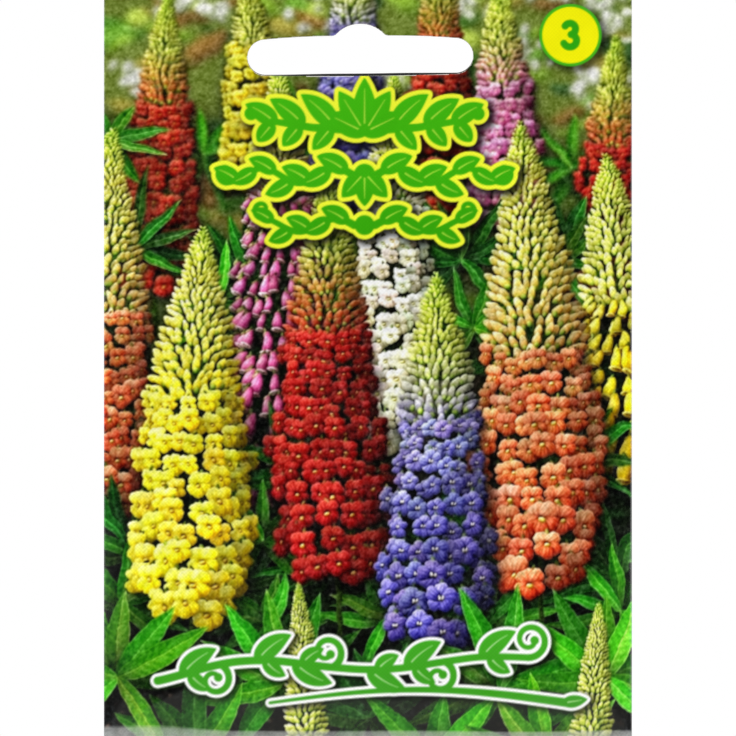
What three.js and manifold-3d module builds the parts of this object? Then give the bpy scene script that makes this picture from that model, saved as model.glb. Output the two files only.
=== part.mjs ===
// A paper seed packet that hangs from a peg by the slot in its header.
// Millimetres, +Z up, printed front facing -Y.
// The origin is the top of the slot's hump, where the peg bears.
import * as THREE from 'three';
import Module from 'manifold-3d';
import { mergeVertices } from 'three/addons/utils/BufferGeometryUtils.js';

const wasm = await Module();
wasm.setup();

// Driving dimensions of the packet
const WIDTH = 80;
const HEIGHT = 116;
const PAPER = 0.2; // one layer
const PEG_BELOW_TOP = 8; // from the top edge down to the hump
const SLOT_LEFT_OF_MIDDLE = 1.2;
const HEADER_HEIGHT = 23; // pressed flat and glued
const BULGE = 3; // of the full pouch, over its two layers

// The hang slot
const SLOT_WIDTH = 34.2;
const SLOT_HEIGHT = 6.1; // in its middle, without the hump
const SLOT_BOW = { top: 0.45, low: 0.2 }; // how far each long edge closes in towards its ends
const HUMP_RISE = 1.8;
const HUMP_HALF_BASE = 4.25;
const HUMP_TOP_RADIUS = 5;
const SLOT_TILT = THREE.MathUtils.degToRad(0.5); // punched a little out of true
const PUNCH_TRAVEL = 2.4; // right through the header

// How the pouch swells, in from its folds and up from its bottom
const SIDE_TAPER = 10;
const SIDE_ROUNDNESS = 2;
const BOTTOM_TAPER = 8.5;
const BOTTOM_ROUNDNESS = 2.4;
const HEAP_HEIGHT = 22; // full up to here, then it thins
const SLACK = 0.3; // share of the bulge that is left above the heap
const MOUTH_TAPER = 16; // closes over this length under the header

// The laps on the back
const LAP_WIDTH = 8;
const LAP_FROM_SIDE = 12;
const LIP_HEIGHT = 11;
const LIP_TAPER = 2.6; // each end of the lip leans in by this much
const LEAN_SHARPNESS = 9; // the higher, the closer the lean stays to the lip's ends
const LAP_RAMP = 0.4; // the lip comes down off the lap's edge over this width
const BOND = 0.08; // how far a lap is sunk into the layer it is glued to

// The cavity between the layers
const CAVITY_INSET = 0.35;
const CAVITY_LEAST = 0.04; // half its height where the layers lie on each other
const CORNER_GAP = { across: 1.8, thick: 0.3, up: 2.4 }; // the folds leave it open

// The seeds
const SEED = { length: 4.3, thick: 2.1, wide: 3.3 };
const SEED_ROWS = [11, 10, 7, 4]; // from the bottom up; odd and even in turn, so they nest
const SEED_CLEARANCE = 0.3;
const LOWEST_SEED = 5.4; // centre, above the packet's bottom edge
const SIZE_SPREAD = 0.05;
const LARGEST_LEAN = THREE.MathUtils.degToRad(4);
const HEAP_DRAW = 7; // picks this heap out of all the ways the seeds could lie

const MIDDLE = SLOT_LEFT_OF_MIDDLE;
const LEFT = MIDDLE - WIDTH / 2;
const RIGHT = MIDDLE + WIDTH / 2;
const TOP = PEG_BELOW_TOP;
const BOTTOM = TOP - HEIGHT;
const HEADER_BOTTOM = TOP - HEADER_HEIGHT;
const LAP_RIGHT = RIGHT - LAP_FROM_SIDE;
const LAP_LEFT = LAP_RIGHT - LAP_WIDTH;

const ROWS_IN_POUCH = 22;
const COLUMNS = 28;
const LAP_ROWS = 12;
const LIP_ROWS = 8;
const ARC_SEGMENTS = 10;
const SEED_FACETS = { around: 8, along: 6 };

const PAPER_FINISH = { color: 0xb9c7a0, roughness: 0.35, metalness: 0 };
const SEED_FINISH = { color: 0x7a5c3e, roughness: 0.6, metalness: 0 };

const clamp01 = (value) => THREE.MathUtils.clamp(value, 0, 1);
const easeOut = (value, power) => 1 - (1 - clamp01(value)) ** power;

// Half the packet's thickness at a point of its face
function halfThickness(x, z) {
  const fromSide = WIDTH / 2 - Math.abs(x - MIDDLE);
  const fromBottom = z - BOTTOM;
  const acrossSwell = easeOut(fromSide / SIDE_TAPER, SIDE_ROUNDNESS);
  const upSwell = easeOut(fromBottom / BOTTOM_TAPER, BOTTOM_ROUNDNESS);
  const thinning = THREE.MathUtils.smoothstep(fromBottom - HEAP_HEIGHT, 0, HEAP_HEIGHT);
  const closing = THREE.MathUtils.smoothstep(HEADER_BOTTOM - z, 0, MOUTH_TAPER);
  const filled = THREE.MathUtils.lerp(1, SLACK, thinning) * closing;
  return PAPER + BULGE / 2 * acrossSwell * upSwell * filled;
}

const frontFace = (x, z) => -halfThickness(x, z);
const backFace = (x, z) => halfThickness(x, z);
const halfCavity = (x, z) => Math.max(halfThickness(x, z) - PAPER, CAVITY_LEAST);

// Grid lines lie closer together towards the folds, where the paper curves most.
function columnsBetween(left, right) {
  const middle = (left + right) / 2;
  const lines = Array.from({ length: COLUMNS + 1 }, (_, i) => Math.cos(Math.PI * i / COLUMNS));
  return lines.map((share) => middle - share * (right - left) / 2);
}

function rowsBetween(bottom, top, count) {
  const lines = Array.from({ length: count + 1 }, (_, i) => Math.cos(Math.PI / 2 * i / count));
  return lines.map((share) => bottom + (1 - share) * (top - bottom));
}

// A closed slab over a grid. columnsAt gives its x at a height; low and high give its y.
function slab(columnsAt, rows, low, high) {
  const across = columnsAt(rows[0]).length;
  const count = across * rows.length;
  const vertices = [];
  for (const face of [low, high]) {
    for (const z of rows) {
      for (const x of columnsAt(z)) {
        vertices.push(x, face(x, z), z);
      }
    }
  }

  const triangles = [];
  for (let row = 0; row < rows.length - 1; row++) {
    for (let column = 0; column < across - 1; column++) {
      const a = row * across + column;
      const b = a + 1;
      const c = b + across;
      const d = a + across;
      triangles.push(a, b, c, a, c, d);
      triangles.push(count + a, count + c, count + b, count + a, count + d, count + c);
    }
  }

  for (const [from, to] of rimOf(across, rows.length)) {
    triangles.push(to, from, count + from, to, count + from, count + to);
  }
  return solid(new Float32Array(vertices), new Uint32Array(triangles));
}

// The edges round a grid, with its front on their left
function rimOf(across, up) {
  const edges = [];
  for (let i = 0; i < across - 1; i++) {
    edges.push([i, i + 1]);
    edges.push([up * across - 1 - i, up * across - 2 - i]);
  }
  for (let j = 0; j < up - 1; j++) {
    edges.push([(j + 1) * across - 1, (j + 2) * across - 1]);
    edges.push([(up - 1 - j) * across, (up - 2 - j) * across]);
  }
  return edges;
}

function solid(vertProperties, triVerts) {
  return new wasm.Manifold(new wasm.Mesh({ numProp: 3, vertProperties, triVerts }));
}

function solidOf(geometry) {
  geometry.deleteAttribute('normal');
  geometry.deleteAttribute('uv');
  const merged = mergeVertices(geometry);
  return solid(new Float32Array(merged.attributes.position.array), new Uint32Array(merged.index.array));
}

function geometryOf(body) {
  const { vertProperties, triVerts } = body.getMesh();
  const geometry = new THREE.BufferGeometry();
  geometry.setAttribute('position', new THREE.BufferAttribute(vertProperties, 3));
  geometry.setIndex(new THREE.BufferAttribute(triVerts, 1));
  geometry.computeVertexNormals();
  return geometry;
}

// The slot's outline in x and z: round ends, long edges that bow out a little towards the middle,
// and a hump that runs into the top one by two fillets
function slotOutline() {
  const top = -HUMP_RISE;
  const low = top - SLOT_HEIGHT;
  const endTop = top - SLOT_BOW.top;
  const endLow = low + SLOT_BOW.low;
  const endRadius = (endTop - endLow) / 2;
  const endCentre = SLOT_WIDTH / 2 - endRadius;
  const endHeight = endLow + endRadius;
  const shoulder = (HUMP_HALF_BASE + endCentre) / 2;
  const bothRadii = (HUMP_HALF_BASE ** 2 + HUMP_RISE ** 2) / (2 * HUMP_RISE);
  const filletRadius = bothRadii - HUMP_TOP_RADIUS;
  const turn = Math.asin(HUMP_HALF_BASE / bothRadii);
  const down = -Math.PI / 2;
  const up = Math.PI / 2;

  const outline = new THREE.Shape();
  outline.moveTo(-endCentre, endLow);
  outline.quadraticCurveTo(0, low - SLOT_BOW.low, endCentre, endLow);
  outline.absarc(endCentre, endHeight, endRadius, down, up, false);
  outline.quadraticCurveTo(shoulder, top, HUMP_HALF_BASE, top);
  outline.absarc(HUMP_HALF_BASE, top + filletRadius, filletRadius, down, down - turn, true);
  outline.absarc(0, -HUMP_TOP_RADIUS, HUMP_TOP_RADIUS, up - turn, up + turn, false);
  outline.absarc(-HUMP_HALF_BASE, top + filletRadius, filletRadius, down + turn, down, true);
  outline.quadraticCurveTo(-shoulder, top, -endCentre, endTop);
  outline.absarc(-endCentre, endHeight, endRadius, up, up + Math.PI, false);
  return outline;
}

function slotPunch() {
  const punch = new THREE.ExtrudeGeometry(slotOutline(), {
    depth: PUNCH_TRAVEL,
    bevelEnabled: false,
    curveSegments: ARC_SEGMENTS,
  });
  punch.rotateX(Math.PI / 2);
  punch.translate(0, PUNCH_TRAVEL / 2, 0);
  punch.rotateY(-SLOT_TILT);
  return solidOf(punch);
}

// The long lap down the back, where the sheet's two edges are glued
function backLap() {
  const columns = [LAP_LEFT, LAP_LEFT + LAP_WIDTH / 3, LAP_RIGHT - LAP_WIDTH / 3, LAP_RIGHT];
  const rows = rowsBetween(BOTTOM, HEADER_BOTTOM, LAP_ROWS).concat([TOP]);
  const under = (x, z) => backFace(x, z) - BOND;
  const over = (x, z) => backFace(x, z) + PAPER;
  return slab(() => columns, rows, under, over);
}

// The bottom lip, folded up on the back over the lap's end
function bottomLip() {
  const offLap = (x) => Math.max(LAP_LEFT - x, x - LAP_RIGHT, 0);
  const lapMiddle = (LAP_LEFT + LAP_RIGHT) / 2;
  const lapLines = [LAP_LEFT - LAP_RAMP, LAP_LEFT, lapMiddle, LAP_RIGHT, LAP_RIGHT + LAP_RAMP];
  const wellOffLap = 3 * LAP_RAMP;
  const plainLines = columnsBetween(LEFT, RIGHT).filter((x) => offLap(x) > wellOffLap);
  const columns = plainLines.concat(lapLines).sort((a, b) => a - b);
  // Only the lip's ends lean in
  const columnsAt = (z) => {
    const lean = LIP_TAPER * (z - BOTTOM) / LIP_HEIGHT;
    return columns.map((x) => x - lean * (2 * (x - MIDDLE) / WIDTH) ** LEAN_SHARPNESS);
  };
  const layersUnder = (x) => 1 - clamp01(offLap(x) / LAP_RAMP);
  const under = (x, z) => backFace(x, z) - BOND;
  const over = (x, z) => backFace(x, z) + PAPER * (1 + layersUnder(x));
  return slab(columnsAt, rowsBetween(BOTTOM, BOTTOM + LIP_HEIGHT, LIP_ROWS), under, over);
}

function pouchCavity() {
  const columns = columnsBetween(LEFT + CAVITY_INSET, RIGHT - CAVITY_INSET);
  const rows = rowsBetween(BOTTOM + CAVITY_INSET, HEADER_BOTTOM - CAVITY_INSET, ROWS_IN_POUCH);
  return slab(() => columns, rows, (x, z) => -halfCavity(x, z), halfCavity);
}

// The small gap that the folds leave at a bottom corner
function cornerGap(side) {
  const { across, thick, up } = CORNER_GAP;
  const gap = new THREE.BoxGeometry(across, thick, up);
  const edge = side < 0 ? LEFT : RIGHT;
  gap.translate(edge - side * (across / 2 - PAPER), 0, BOTTOM + up / 2 - PAPER);
  return solidOf(gap);
}

function foldedSheet() {
  const columns = columnsBetween(LEFT, RIGHT);
  const rows = rowsBetween(BOTTOM, HEADER_BOTTOM, ROWS_IN_POUCH).concat([TOP]);
  const body = slab(() => columns, rows, frontFace, backFace)
    .add(backLap())
    .add(bottomLip())
    .subtract(pouchCavity())
    .subtract(cornerGap(-1))
    .subtract(cornerGap(1))
    .subtract(slotPunch());
  const sheet = new THREE.Mesh(geometryOf(body), new THREE.MeshStandardMaterial(PAPER_FINISH));
  sheet.name = 'folded_sheet';
  return sheet;
}

// Repeatable draws between -1 and 1, by the usual 32-bit multiply and add
function drawsFrom(start) {
  const factor = 1664525;
  const step = 1013904223;
  const range = 2 ** 32;
  let state = start;
  return () => {
    state = (state * factor + step) % range;
    return 2 * state / range - 1;
  };
}

function seedMesh(number, x, z, draw) {
  const size = 1 - SIZE_SPREAD * Math.abs(draw());
  const form = new THREE.SphereGeometry(1 / 2, SEED_FACETS.around, SEED_FACETS.along);
  form.scale(SEED.wide * size, SEED.thick * size, SEED.length * size);
  const seed = new THREE.Mesh(form, new THREE.MeshStandardMaterial(SEED_FINISH));
  seed.name = `seed_${String(number).padStart(2, '0')}`;
  seed.rotation.set(LARGEST_LEAN * draw(), Math.PI * draw(), LARGEST_LEAN * draw(), 'YXZ');
  seed.position.set(x, 0, z);
  return seed;
}

// The heap: rows of seeds that lie flat between the layers, each row in the gaps of the one below
function seedHeap() {
  const heap = new THREE.Group();
  const draw = drawsFrom(HEAP_DRAW);
  const pitch = SEED.length + SEED_CLEARANCE;
  const rowHeight = pitch * Math.sqrt(3) / 2;
  let number = 1;
  SEED_ROWS.forEach((count, row) => {
    for (let i = 0; i < count; i++) {
      const x = MIDDLE + (i - (count - 1) / 2) * pitch;
      heap.add(seedMesh(number, x, BOTTOM + LOWEST_SEED + row * rowHeight, draw));
      number += 1;
    }
  });
  return heap;
}

const seedPacket = new THREE.Group();
seedPacket.add(foldedSheet());
seedPacket.add(seedHeap());

export default seedPacket;
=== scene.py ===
import math
from collections import namedtuple

import bpy
import numpy as np
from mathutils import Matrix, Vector


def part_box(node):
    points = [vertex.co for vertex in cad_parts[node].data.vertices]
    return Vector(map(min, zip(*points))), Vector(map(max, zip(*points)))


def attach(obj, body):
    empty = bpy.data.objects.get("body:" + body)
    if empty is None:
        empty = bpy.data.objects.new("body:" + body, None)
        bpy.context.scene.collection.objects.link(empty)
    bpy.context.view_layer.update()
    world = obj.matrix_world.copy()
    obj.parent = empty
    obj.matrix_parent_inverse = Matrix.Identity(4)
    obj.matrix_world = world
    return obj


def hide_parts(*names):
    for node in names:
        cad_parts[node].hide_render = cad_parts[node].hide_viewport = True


MM = 0.001
UP = math.pi / 2  # a quarter turn, and in a drawing the way up

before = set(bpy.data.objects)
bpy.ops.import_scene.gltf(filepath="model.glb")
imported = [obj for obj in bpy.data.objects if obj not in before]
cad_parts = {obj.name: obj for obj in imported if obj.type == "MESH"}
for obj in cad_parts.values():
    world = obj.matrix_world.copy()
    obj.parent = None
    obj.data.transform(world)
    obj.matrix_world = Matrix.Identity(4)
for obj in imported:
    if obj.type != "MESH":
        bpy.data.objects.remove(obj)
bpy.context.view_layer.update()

# ---------------------------------------------------------------------------
# The packet's sizes in mm. The first lines are read off the part in model.glb, the rest repeat the part's
# own.
# ---------------------------------------------------------------------------

sheet_low, sheet_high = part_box("folded_sheet")
LEFT, RIGHT = sheet_low.x / MM, sheet_high.x / MM
BOTTOM, TOP = sheet_low.z / MM, sheet_high.z / MM
WIDTH, HEIGHT = RIGHT - LEFT, TOP - BOTTOM
MIDDLE = (LEFT + RIGHT) / 2

PAPER = 0.2
HEADER_HEIGHT = 23.0
BULGE = 2.76  # a little under the solid's, which leaves room for the relief
SIDE_TAPER, BOTTOM_TAPER, MOUTH_TAPER = 10.0, 8.5, 16.0
HEAP_HEIGHT = 22.0
SLACK = 0.3  # how full the pouch stays above its heap of seeds
LAP_WIDTH, LAP_FROM_SIDE = 8.0, 12.0
LIP_HEIGHT, LIP_TAPER = 11.0, 2.6

SLOT_WIDTH, SLOT_HEIGHT = 34.2, 6.1
TOP_BOW, LOW_BOW = 0.45, 0.2  # how far the slot's long edges close in towards its ends
HUMP_RISE, HUMP_HALF_BASE, HUMP_TOP_RADIUS = 1.8, 4.25, 5.0
SLOT_TILT = math.radians(0.5)

HEADER_BOTTOM = TOP - HEADER_HEIGHT
LAP_RIGHT = RIGHT - LAP_FROM_SIDE
LAP_LEFT = LAP_RIGHT - LAP_WIDTH

# The sheet is made on a grid fine enough to carry its print
CELL = 0.15
FOLD_RADIUS = 0.24
FINE = 2  # the print is painted this many times finer, then averaged

# ---------------------------------------------------------------------------
# Colour
# ---------------------------------------------------------------------------


def hex_rgb(code):
    """A hex colour as three sRGB numbers, for painting with."""
    return np.array([int(code[i : i + 2], 16) for i in (1, 3, 5)]) / 255


def to_linear(srgb):
    srgb = np.asarray(srgb, float)
    return np.where(srgb <= 0.04045, srgb / 12.92, ((srgb + 0.055) / 1.055) ** 2.4)


def linear_hex(code):
    return (*to_linear(hex_rgb(code)), 1.0)


UNLIT = np.array([0.36, 0.30, 0.34])  # what shade leaves of a colour, where no dark tone is given
MIDDLE_LIT = 0.6  # how lit the middle tone is, from 0 to 1


def tones(middle, light, dark=None):
    """The dark, middle and light tone that a printed petal or leaf is shaded with."""
    middle = hex_rgb(middle)
    return hex_rgb(dark) if dark else middle * UNLIT, middle, hex_rgb(light)


def mixed(a, b, share):
    return tuple(p + (q - p) * share for p, q in zip(a, b))


def dimmed(tone, share):
    return tuple(t * share for t in tone)


def toned(lit, tone):
    """Runs from the dark tone through the middle one to the light one as lit goes from 0 to 1."""
    dark, middle, light = tone
    lit = np.clip(lit, 0, 1)[..., None]
    low = np.clip(lit / MIDDLE_LIT, 0, 1)
    high = np.clip((lit - MIDDLE_LIT) / (1 - MIDDLE_LIT), 0, 1)
    return (dark + (middle - dark) * low) * (1 - high) + light * high


# ---------------------------------------------------------------------------
# The press: what the print is painted with
# ---------------------------------------------------------------------------

PIXEL = CELL / FINE
PICTURE_LIGHT = (-0.42, 0.58, 0.7)  # the way to the light in the printed picture
SHADE_REACH = 2.2  # how far a soft shade is painted, in its own half sizes
ROOT_SHADE, MARGIN_LIGHT = 0.34, 0.2  # a ribbed petal's root and margin
FAR_OFF = 9.0  # stands for any distance too great to matter, in mm


def hill(value, middle, spread):
    """1 at the middle, and falling off smoothly on both sides of it."""
    return np.exp(-(((value - middle) / spread) ** 2))


def inked(far):
    """How much of each pixel a shape covers, given how far outside its edge the pixel lies."""
    return np.clip(0.5 - far / PIXEL, 0, 1)


def pixel_middles(first, last):
    return (np.arange(first, last) + 0.5) * PIXEL


class Print:
    """One face's print, in mm from its lower left corner. Rows run upwards."""

    def __init__(self, ground, seed):
        self.columns = round(WIDTH / PIXEL)
        self.rows = round(HEIGHT / PIXEL)
        self.ink = np.empty((self.rows, self.columns, 3))
        self.ink[:] = hex_rgb(ground)
        self.draw = np.random.default_rng(seed)

    def window(self, x, y, reach):
        """The part of the print within reach of a point, and each of its pixels' place from there."""
        left = max(int((x - reach) / PIXEL), 0)
        right = min(int((x + reach) / PIXEL) + 2, self.columns)
        low = max(int((y - reach) / PIXEL), 0)
        high = min(int((y + reach) / PIXEL) + 2, self.rows)
        if left >= right or low >= high:
            return None
        across, up = pixel_middles(left, right) - x, pixel_middles(low, high) - y
        return (slice(low, high), slice(left, right)), across[None, :], up[:, None]

    def lay(self, cover, colour, where=...):
        area = self.ink[where]
        area += cover[..., None] * (colour - area)

    def shade(self, x, y, across, along, strength, turn=0.0):
        """A soft dark patch, such as the shade under a floret."""
        found = self.window(x, y, SHADE_REACH * max(across, along))
        if found is None:
            return
        where, dx, dy = found
        c, s = math.cos(turn), math.sin(turn)
        u, v = (dx * c + dy * s) / across, (dy * c - dx * s) / along
        self.ink[where] *= (1 - strength * np.exp(-(u * u + v * v)))[..., None]

    def petal(self, x, y, long, wide, turn, tone, taper=0.0, ribs=0.0, frill=0.0, flat=0.0):
        """A rounded petal. long and wide are half sizes, and turn is the way its tip points.
        A ribbed one is darker at its root, has fine veins and a light margin."""
        found = self.window(x, y, max(long, wide) * 1.2 + PIXEL)
        if found is None:
            return
        where, dx, dy = found
        c, s = math.cos(turn), math.sin(turn)
        t = (dx * c + dy * s) / long
        w = (dy * c - dx * s) / (wide * (1 + taper * np.clip(t, -1, 1)))
        out = t * t + w * w
        if frill:
            around, start = np.arctan2(w, t), self.draw.uniform(0, 6)
            out = out * (1 + frill * (np.cos(4 * around + start) + 0.6 * np.cos(9 * around + 2 * start)))
        inside = 1 - out
        rise = np.sqrt(np.clip(inside, 0.0, 1)) + flat
        lx, ly, lz = PICTURE_LIGHT
        lit = t * (lx * c + ly * s) + w * (ly * c - lx * s) + rise * lz
        lit = lit / (np.sqrt(t * t + w * w + rise * rise) + 1e-6)
        if ribs:
            lit = 0.1 + 0.9 * lit + ribs * np.cos(w * 12 + 2 * t) * (1 - t * t)
            lit = lit - ROOT_SHADE * hill(t, -1, 0.55)
            lit = lit + MARGIN_LIGHT * hill(inside, 0.16, 0.13) * np.clip(t + 0.4, 0, 1)
        self.lay(inked(-inside * min(long, wide) / 2), toned(lit, tone), where)

    def blur(self, mm):
        self.ink[:] = blurred(self.ink, mm)

    def warp(self, mm, size):
        """Shifts the print by about mm in waves of about size, so that no shape stays quite regular."""
        shifts = blurred(self.draw.normal(0, 1, (self.rows, self.columns, 2)), size)
        shifts *= mm / PIXEL / shifts.std()
        row = np.arange(self.rows)[:, None] + shifts[..., 0]
        column = np.arange(self.columns)[None, :] + shifts[..., 1]
        self.ink = sampled(self.ink, row, column)

    def at(self, u, v):
        """The print's colour at points of the face, each the mean of the pixels round it."""
        rows, columns = self.rows // FINE, self.columns // FINE
        coarse = self.ink[: rows * FINE, : columns * FINE]
        coarse = coarse.reshape(rows, FINE, columns, FINE, 3).mean((1, 3))
        return sampled(coarse, v / CELL - 0.5, u / CELL - 0.5)


def sampled(ink, row, column):
    """The ink at places that lie between its rows and columns."""
    row = np.clip(row, 0, ink.shape[0] - 1.001)
    column = np.clip(column, 0, ink.shape[1] - 1.001)
    j, i = row.astype(int), column.astype(int)
    q, p = (row - j)[..., None], (column - i)[..., None]
    low = ink[j, i] * (1 - p) + ink[j, i + 1] * p
    high = ink[j + 1, i] * (1 - p) + ink[j + 1, i + 1] * p
    return low * (1 - q) + high * q


def blurred(ink, mm):
    """A Gaussian blur, with the edges held."""
    reach = mm / PIXEL
    pad = int(4 * reach) + 1
    wide = np.pad(ink, ((pad, pad), (pad, pad), (0, 0)), mode="edge")
    rows, columns = wide.shape[:2]
    fy = np.fft.fftfreq(rows)[:, None]
    fx = np.fft.rfftfreq(columns)[None, :]
    keep = np.exp(-2 * (math.pi * reach) ** 2 * (fx * fx + fy * fy))
    for k in range(wide.shape[2]):
        wide[..., k] = np.fft.irfft2(np.fft.rfft2(wide[..., k]) * keep, s=(rows, columns))
    return wide[pad:-pad, pad:-pad]


# ---------------------------------------------------------------------------
# The front's picture: a border of mixed tall flowers
# ---------------------------------------------------------------------------

RED = tones("#c3261a", "#f57f60", "#380506")
CRIMSON = tones("#a0141a", "#e04440", "#260204")
SALMON = tones("#d84a26", "#ffa274", "#520f08")
APRICOT = tones("#e9a452", "#ffe8b4", "#7c3814")
PEACH = tones("#e8a878", "#ffe6c8", "#7c3a1c")
PINK = tones("#cc5a90", "#f8bcd6", "#581639")
BLUSH = tones("#e6a4c4", "#fce6f2", "#7c3860")
VIOLET = tones("#4a4398", "#9c95d8", "#110d34")
LILAC = tones("#8b83bd", "#dfdbf4", "#2c2654")
YELLOW = tones("#fadb10", "#fffa80", "#946c04")
BUTTER = tones("#fff02c", "#ffffa0", "#a07a04")
LEMON = tones("#ece04a", "#ffffc0", "#766c0e")
CREAM = tones("#efe7c2", "#fffdf2", "#786e44")
GOLD = tones("#f0bd26", "#fff09e", "#7c4c04")
GREEN_BUD = tones("#d2dc46", "#fbffae", "#66761a")
GREEN_TIP = tones("#a8d034", "#ecfa8c", "#436c14")
STEM = tones("#5a8422", "#b4d464")
LEAF = tones("#42a824", "#a6e266", "#12380b")
DEEP_LEAF = tones("#2c7024", "#74bc52", "#0a2208")
LIME_LEAF = tones("#56bc24", "#b6ec70", "#1c540c")
WHITE_FLOWER = tones("#f3f3e6", "#ffffff", "#87946a")


class Spot:
    """A place on the print where a floret is painted, measured in the floret's own size."""

    def __init__(self, art, x, y, size):
        self.art, self.x, self.y, self.size = art, x, y, size

    def at(self, dx, dy):
        return self.x + dx * self.size, self.y + dy * self.size

    def petal(self, dx, dy, long, wide, turn, tone, **form):
        self.art.petal(*self.at(dx, dy), long * self.size, wide * self.size, turn, tone, **form)

    def shade(self, dx, dy, across, along, strength):
        self.art.shade(*self.at(dx, dy), across * self.size, along * self.size, strength)


NARROWEST = 0.4  # how narrow a floret looks from its side, as a share of its width
LOBE = dict(taper=0.28, ribs=0.1, frill=0.09, flat=0.4)
STAR_PETAL = dict(taper=0.28, ribs=0.09, frill=0.07, flat=0.5)


def lipped_floret(spot, facing, petals, pale, throat):
    """Two broad paler lobes up, three down and a small raised throat."""
    squeeze, lean = max(math.cos(facing), NARROWEST), math.sin(facing)
    wide = 0.21 + 0.1 * squeeze
    spot.shade(0.12, -0.18, 0.62, 0.6, 0.5)
    for side in (-1, 1):
        turn = UP - 0.55 * side * squeeze - 0.3 * lean
        spot.petal(0.2 * side * squeeze + 0.05 * lean, 0.25, 0.36, wide, turn, pale, **LOBE)
    spot.shade(0, 0.04, 0.36 * squeeze, 0.16, 0.35)
    for side in (-1, 1, 0):
        across, drop = 0.26 * side * squeeze + 0.06 * lean, 0.13 if side else 0.27
        spot.petal(across, -drop, 0.31, 0.92 * wide, 0.95 * side * squeeze - UP, petals, **LOBE)
    spot.shade(0.06 * lean, 0.06, 0.2 * squeeze, 0.08, 0.5)
    spot.petal(0.07 * lean, -0.02, 0.13 * squeeze, 0.09, 0.0, throat)


def star_floret(spot, facing, petals, pale, throat):
    """Five broad petals round a pale eye, the top one paler."""
    squeeze = max(math.cos(facing), NARROWEST)
    spot.shade(0.12, -0.16, 0.6, 0.6, 0.5)
    spin = UP + spot.art.draw.uniform(-0.3, 0.3)
    for k in (0, 2, 4, 1, 3):
        out = spin + k * 2 * math.pi / 5
        dx, dy = math.cos(out) * squeeze, math.sin(out)
        wide, tone = 0.17 + 0.11 * squeeze, petals if k else pale
        spot.petal(0.31 * dx, 0.31 * dy, 0.3, wide, math.atan2(dy, dx), tone, **STAR_PETAL)
    for side in (-1, 1):
        spot.petal(0.06 * side * squeeze, 0.02, 0.11, 0.06, UP - 0.35 * side, throat)
    spot.shade(0, -0.05, 0.07, 0.06, 0.7)


def bell_floret(spot, facing, petals, pale, throat):
    """A hanging bell with a pale, spotted mouth."""
    turn = 0.62 * math.sin(facing) - UP
    c, s = math.cos(turn), math.sin(turn)
    spot.shade(0.14, -0.2, 0.5, 0.6, 0.5)
    spot.petal(0, 0, 0.58, 0.3, turn, petals, taper=0.32, ribs=0.05)
    spot.petal(0.5 * c, 0.5 * s, 0.15, 0.37, turn, mixed(pale, throat, 0.35))
    spot.petal(0.5 * c, 0.5 * s, 0.08, 0.26, turn, dimmed(throat, 0.72))
    for k in (-1, 0, 1):
        spot.shade(0.5 * c - 0.12 * k * s, 0.5 * s + 0.12 * k * c, 0.045, 0.045, 0.6)


def flower_bud(spot, turn, colour, calyx):
    spot.shade(0.1, -0.1, 0.34, 0.42, 0.28)
    spot.petal(0, 0, 0.46, 0.25, turn, colour, taper=-0.25, ribs=0.05, flat=0.45)
    spot.petal(-0.3 * math.cos(turn), -0.3 * math.sin(turn), 0.2, 0.17, turn, calyx)


# A spike's colours: its florets, their paler petals, its upper florets, their throats, its buds
Colours = namedtuple("Colours", "petals pale upper throat buds")
DEEP_CRIMSON = Colours(CRIMSON, RED, RED, GOLD, GREEN_BUD)
BRIGHT_RED = Colours(RED, RED, RED, GOLD, GREEN_BUD)
BLUE_VIOLET = Colours(VIOLET, LILAC, LILAC, CREAM, GREEN_BUD)
ROSE = Colours(PINK, BLUSH, PINK, CREAM, GREEN_BUD)
IVORY = Colours(CREAM, CREAM, CREAM, LEMON, GREEN_BUD)
CORAL = Colours(SALMON, PEACH, APRICOT, LEMON, LEMON)
CANARY = Colours(YELLOW, BUTTER, YELLOW, GOLD, LEMON)
CITRON = Colours(YELLOW, BUTTER, LEMON, GOLD, GREEN_BUD)
SPROUT = Colours(GREEN_BUD, GREEN_BUD, GREEN_BUD, LEMON, GREEN_BUD)


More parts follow.
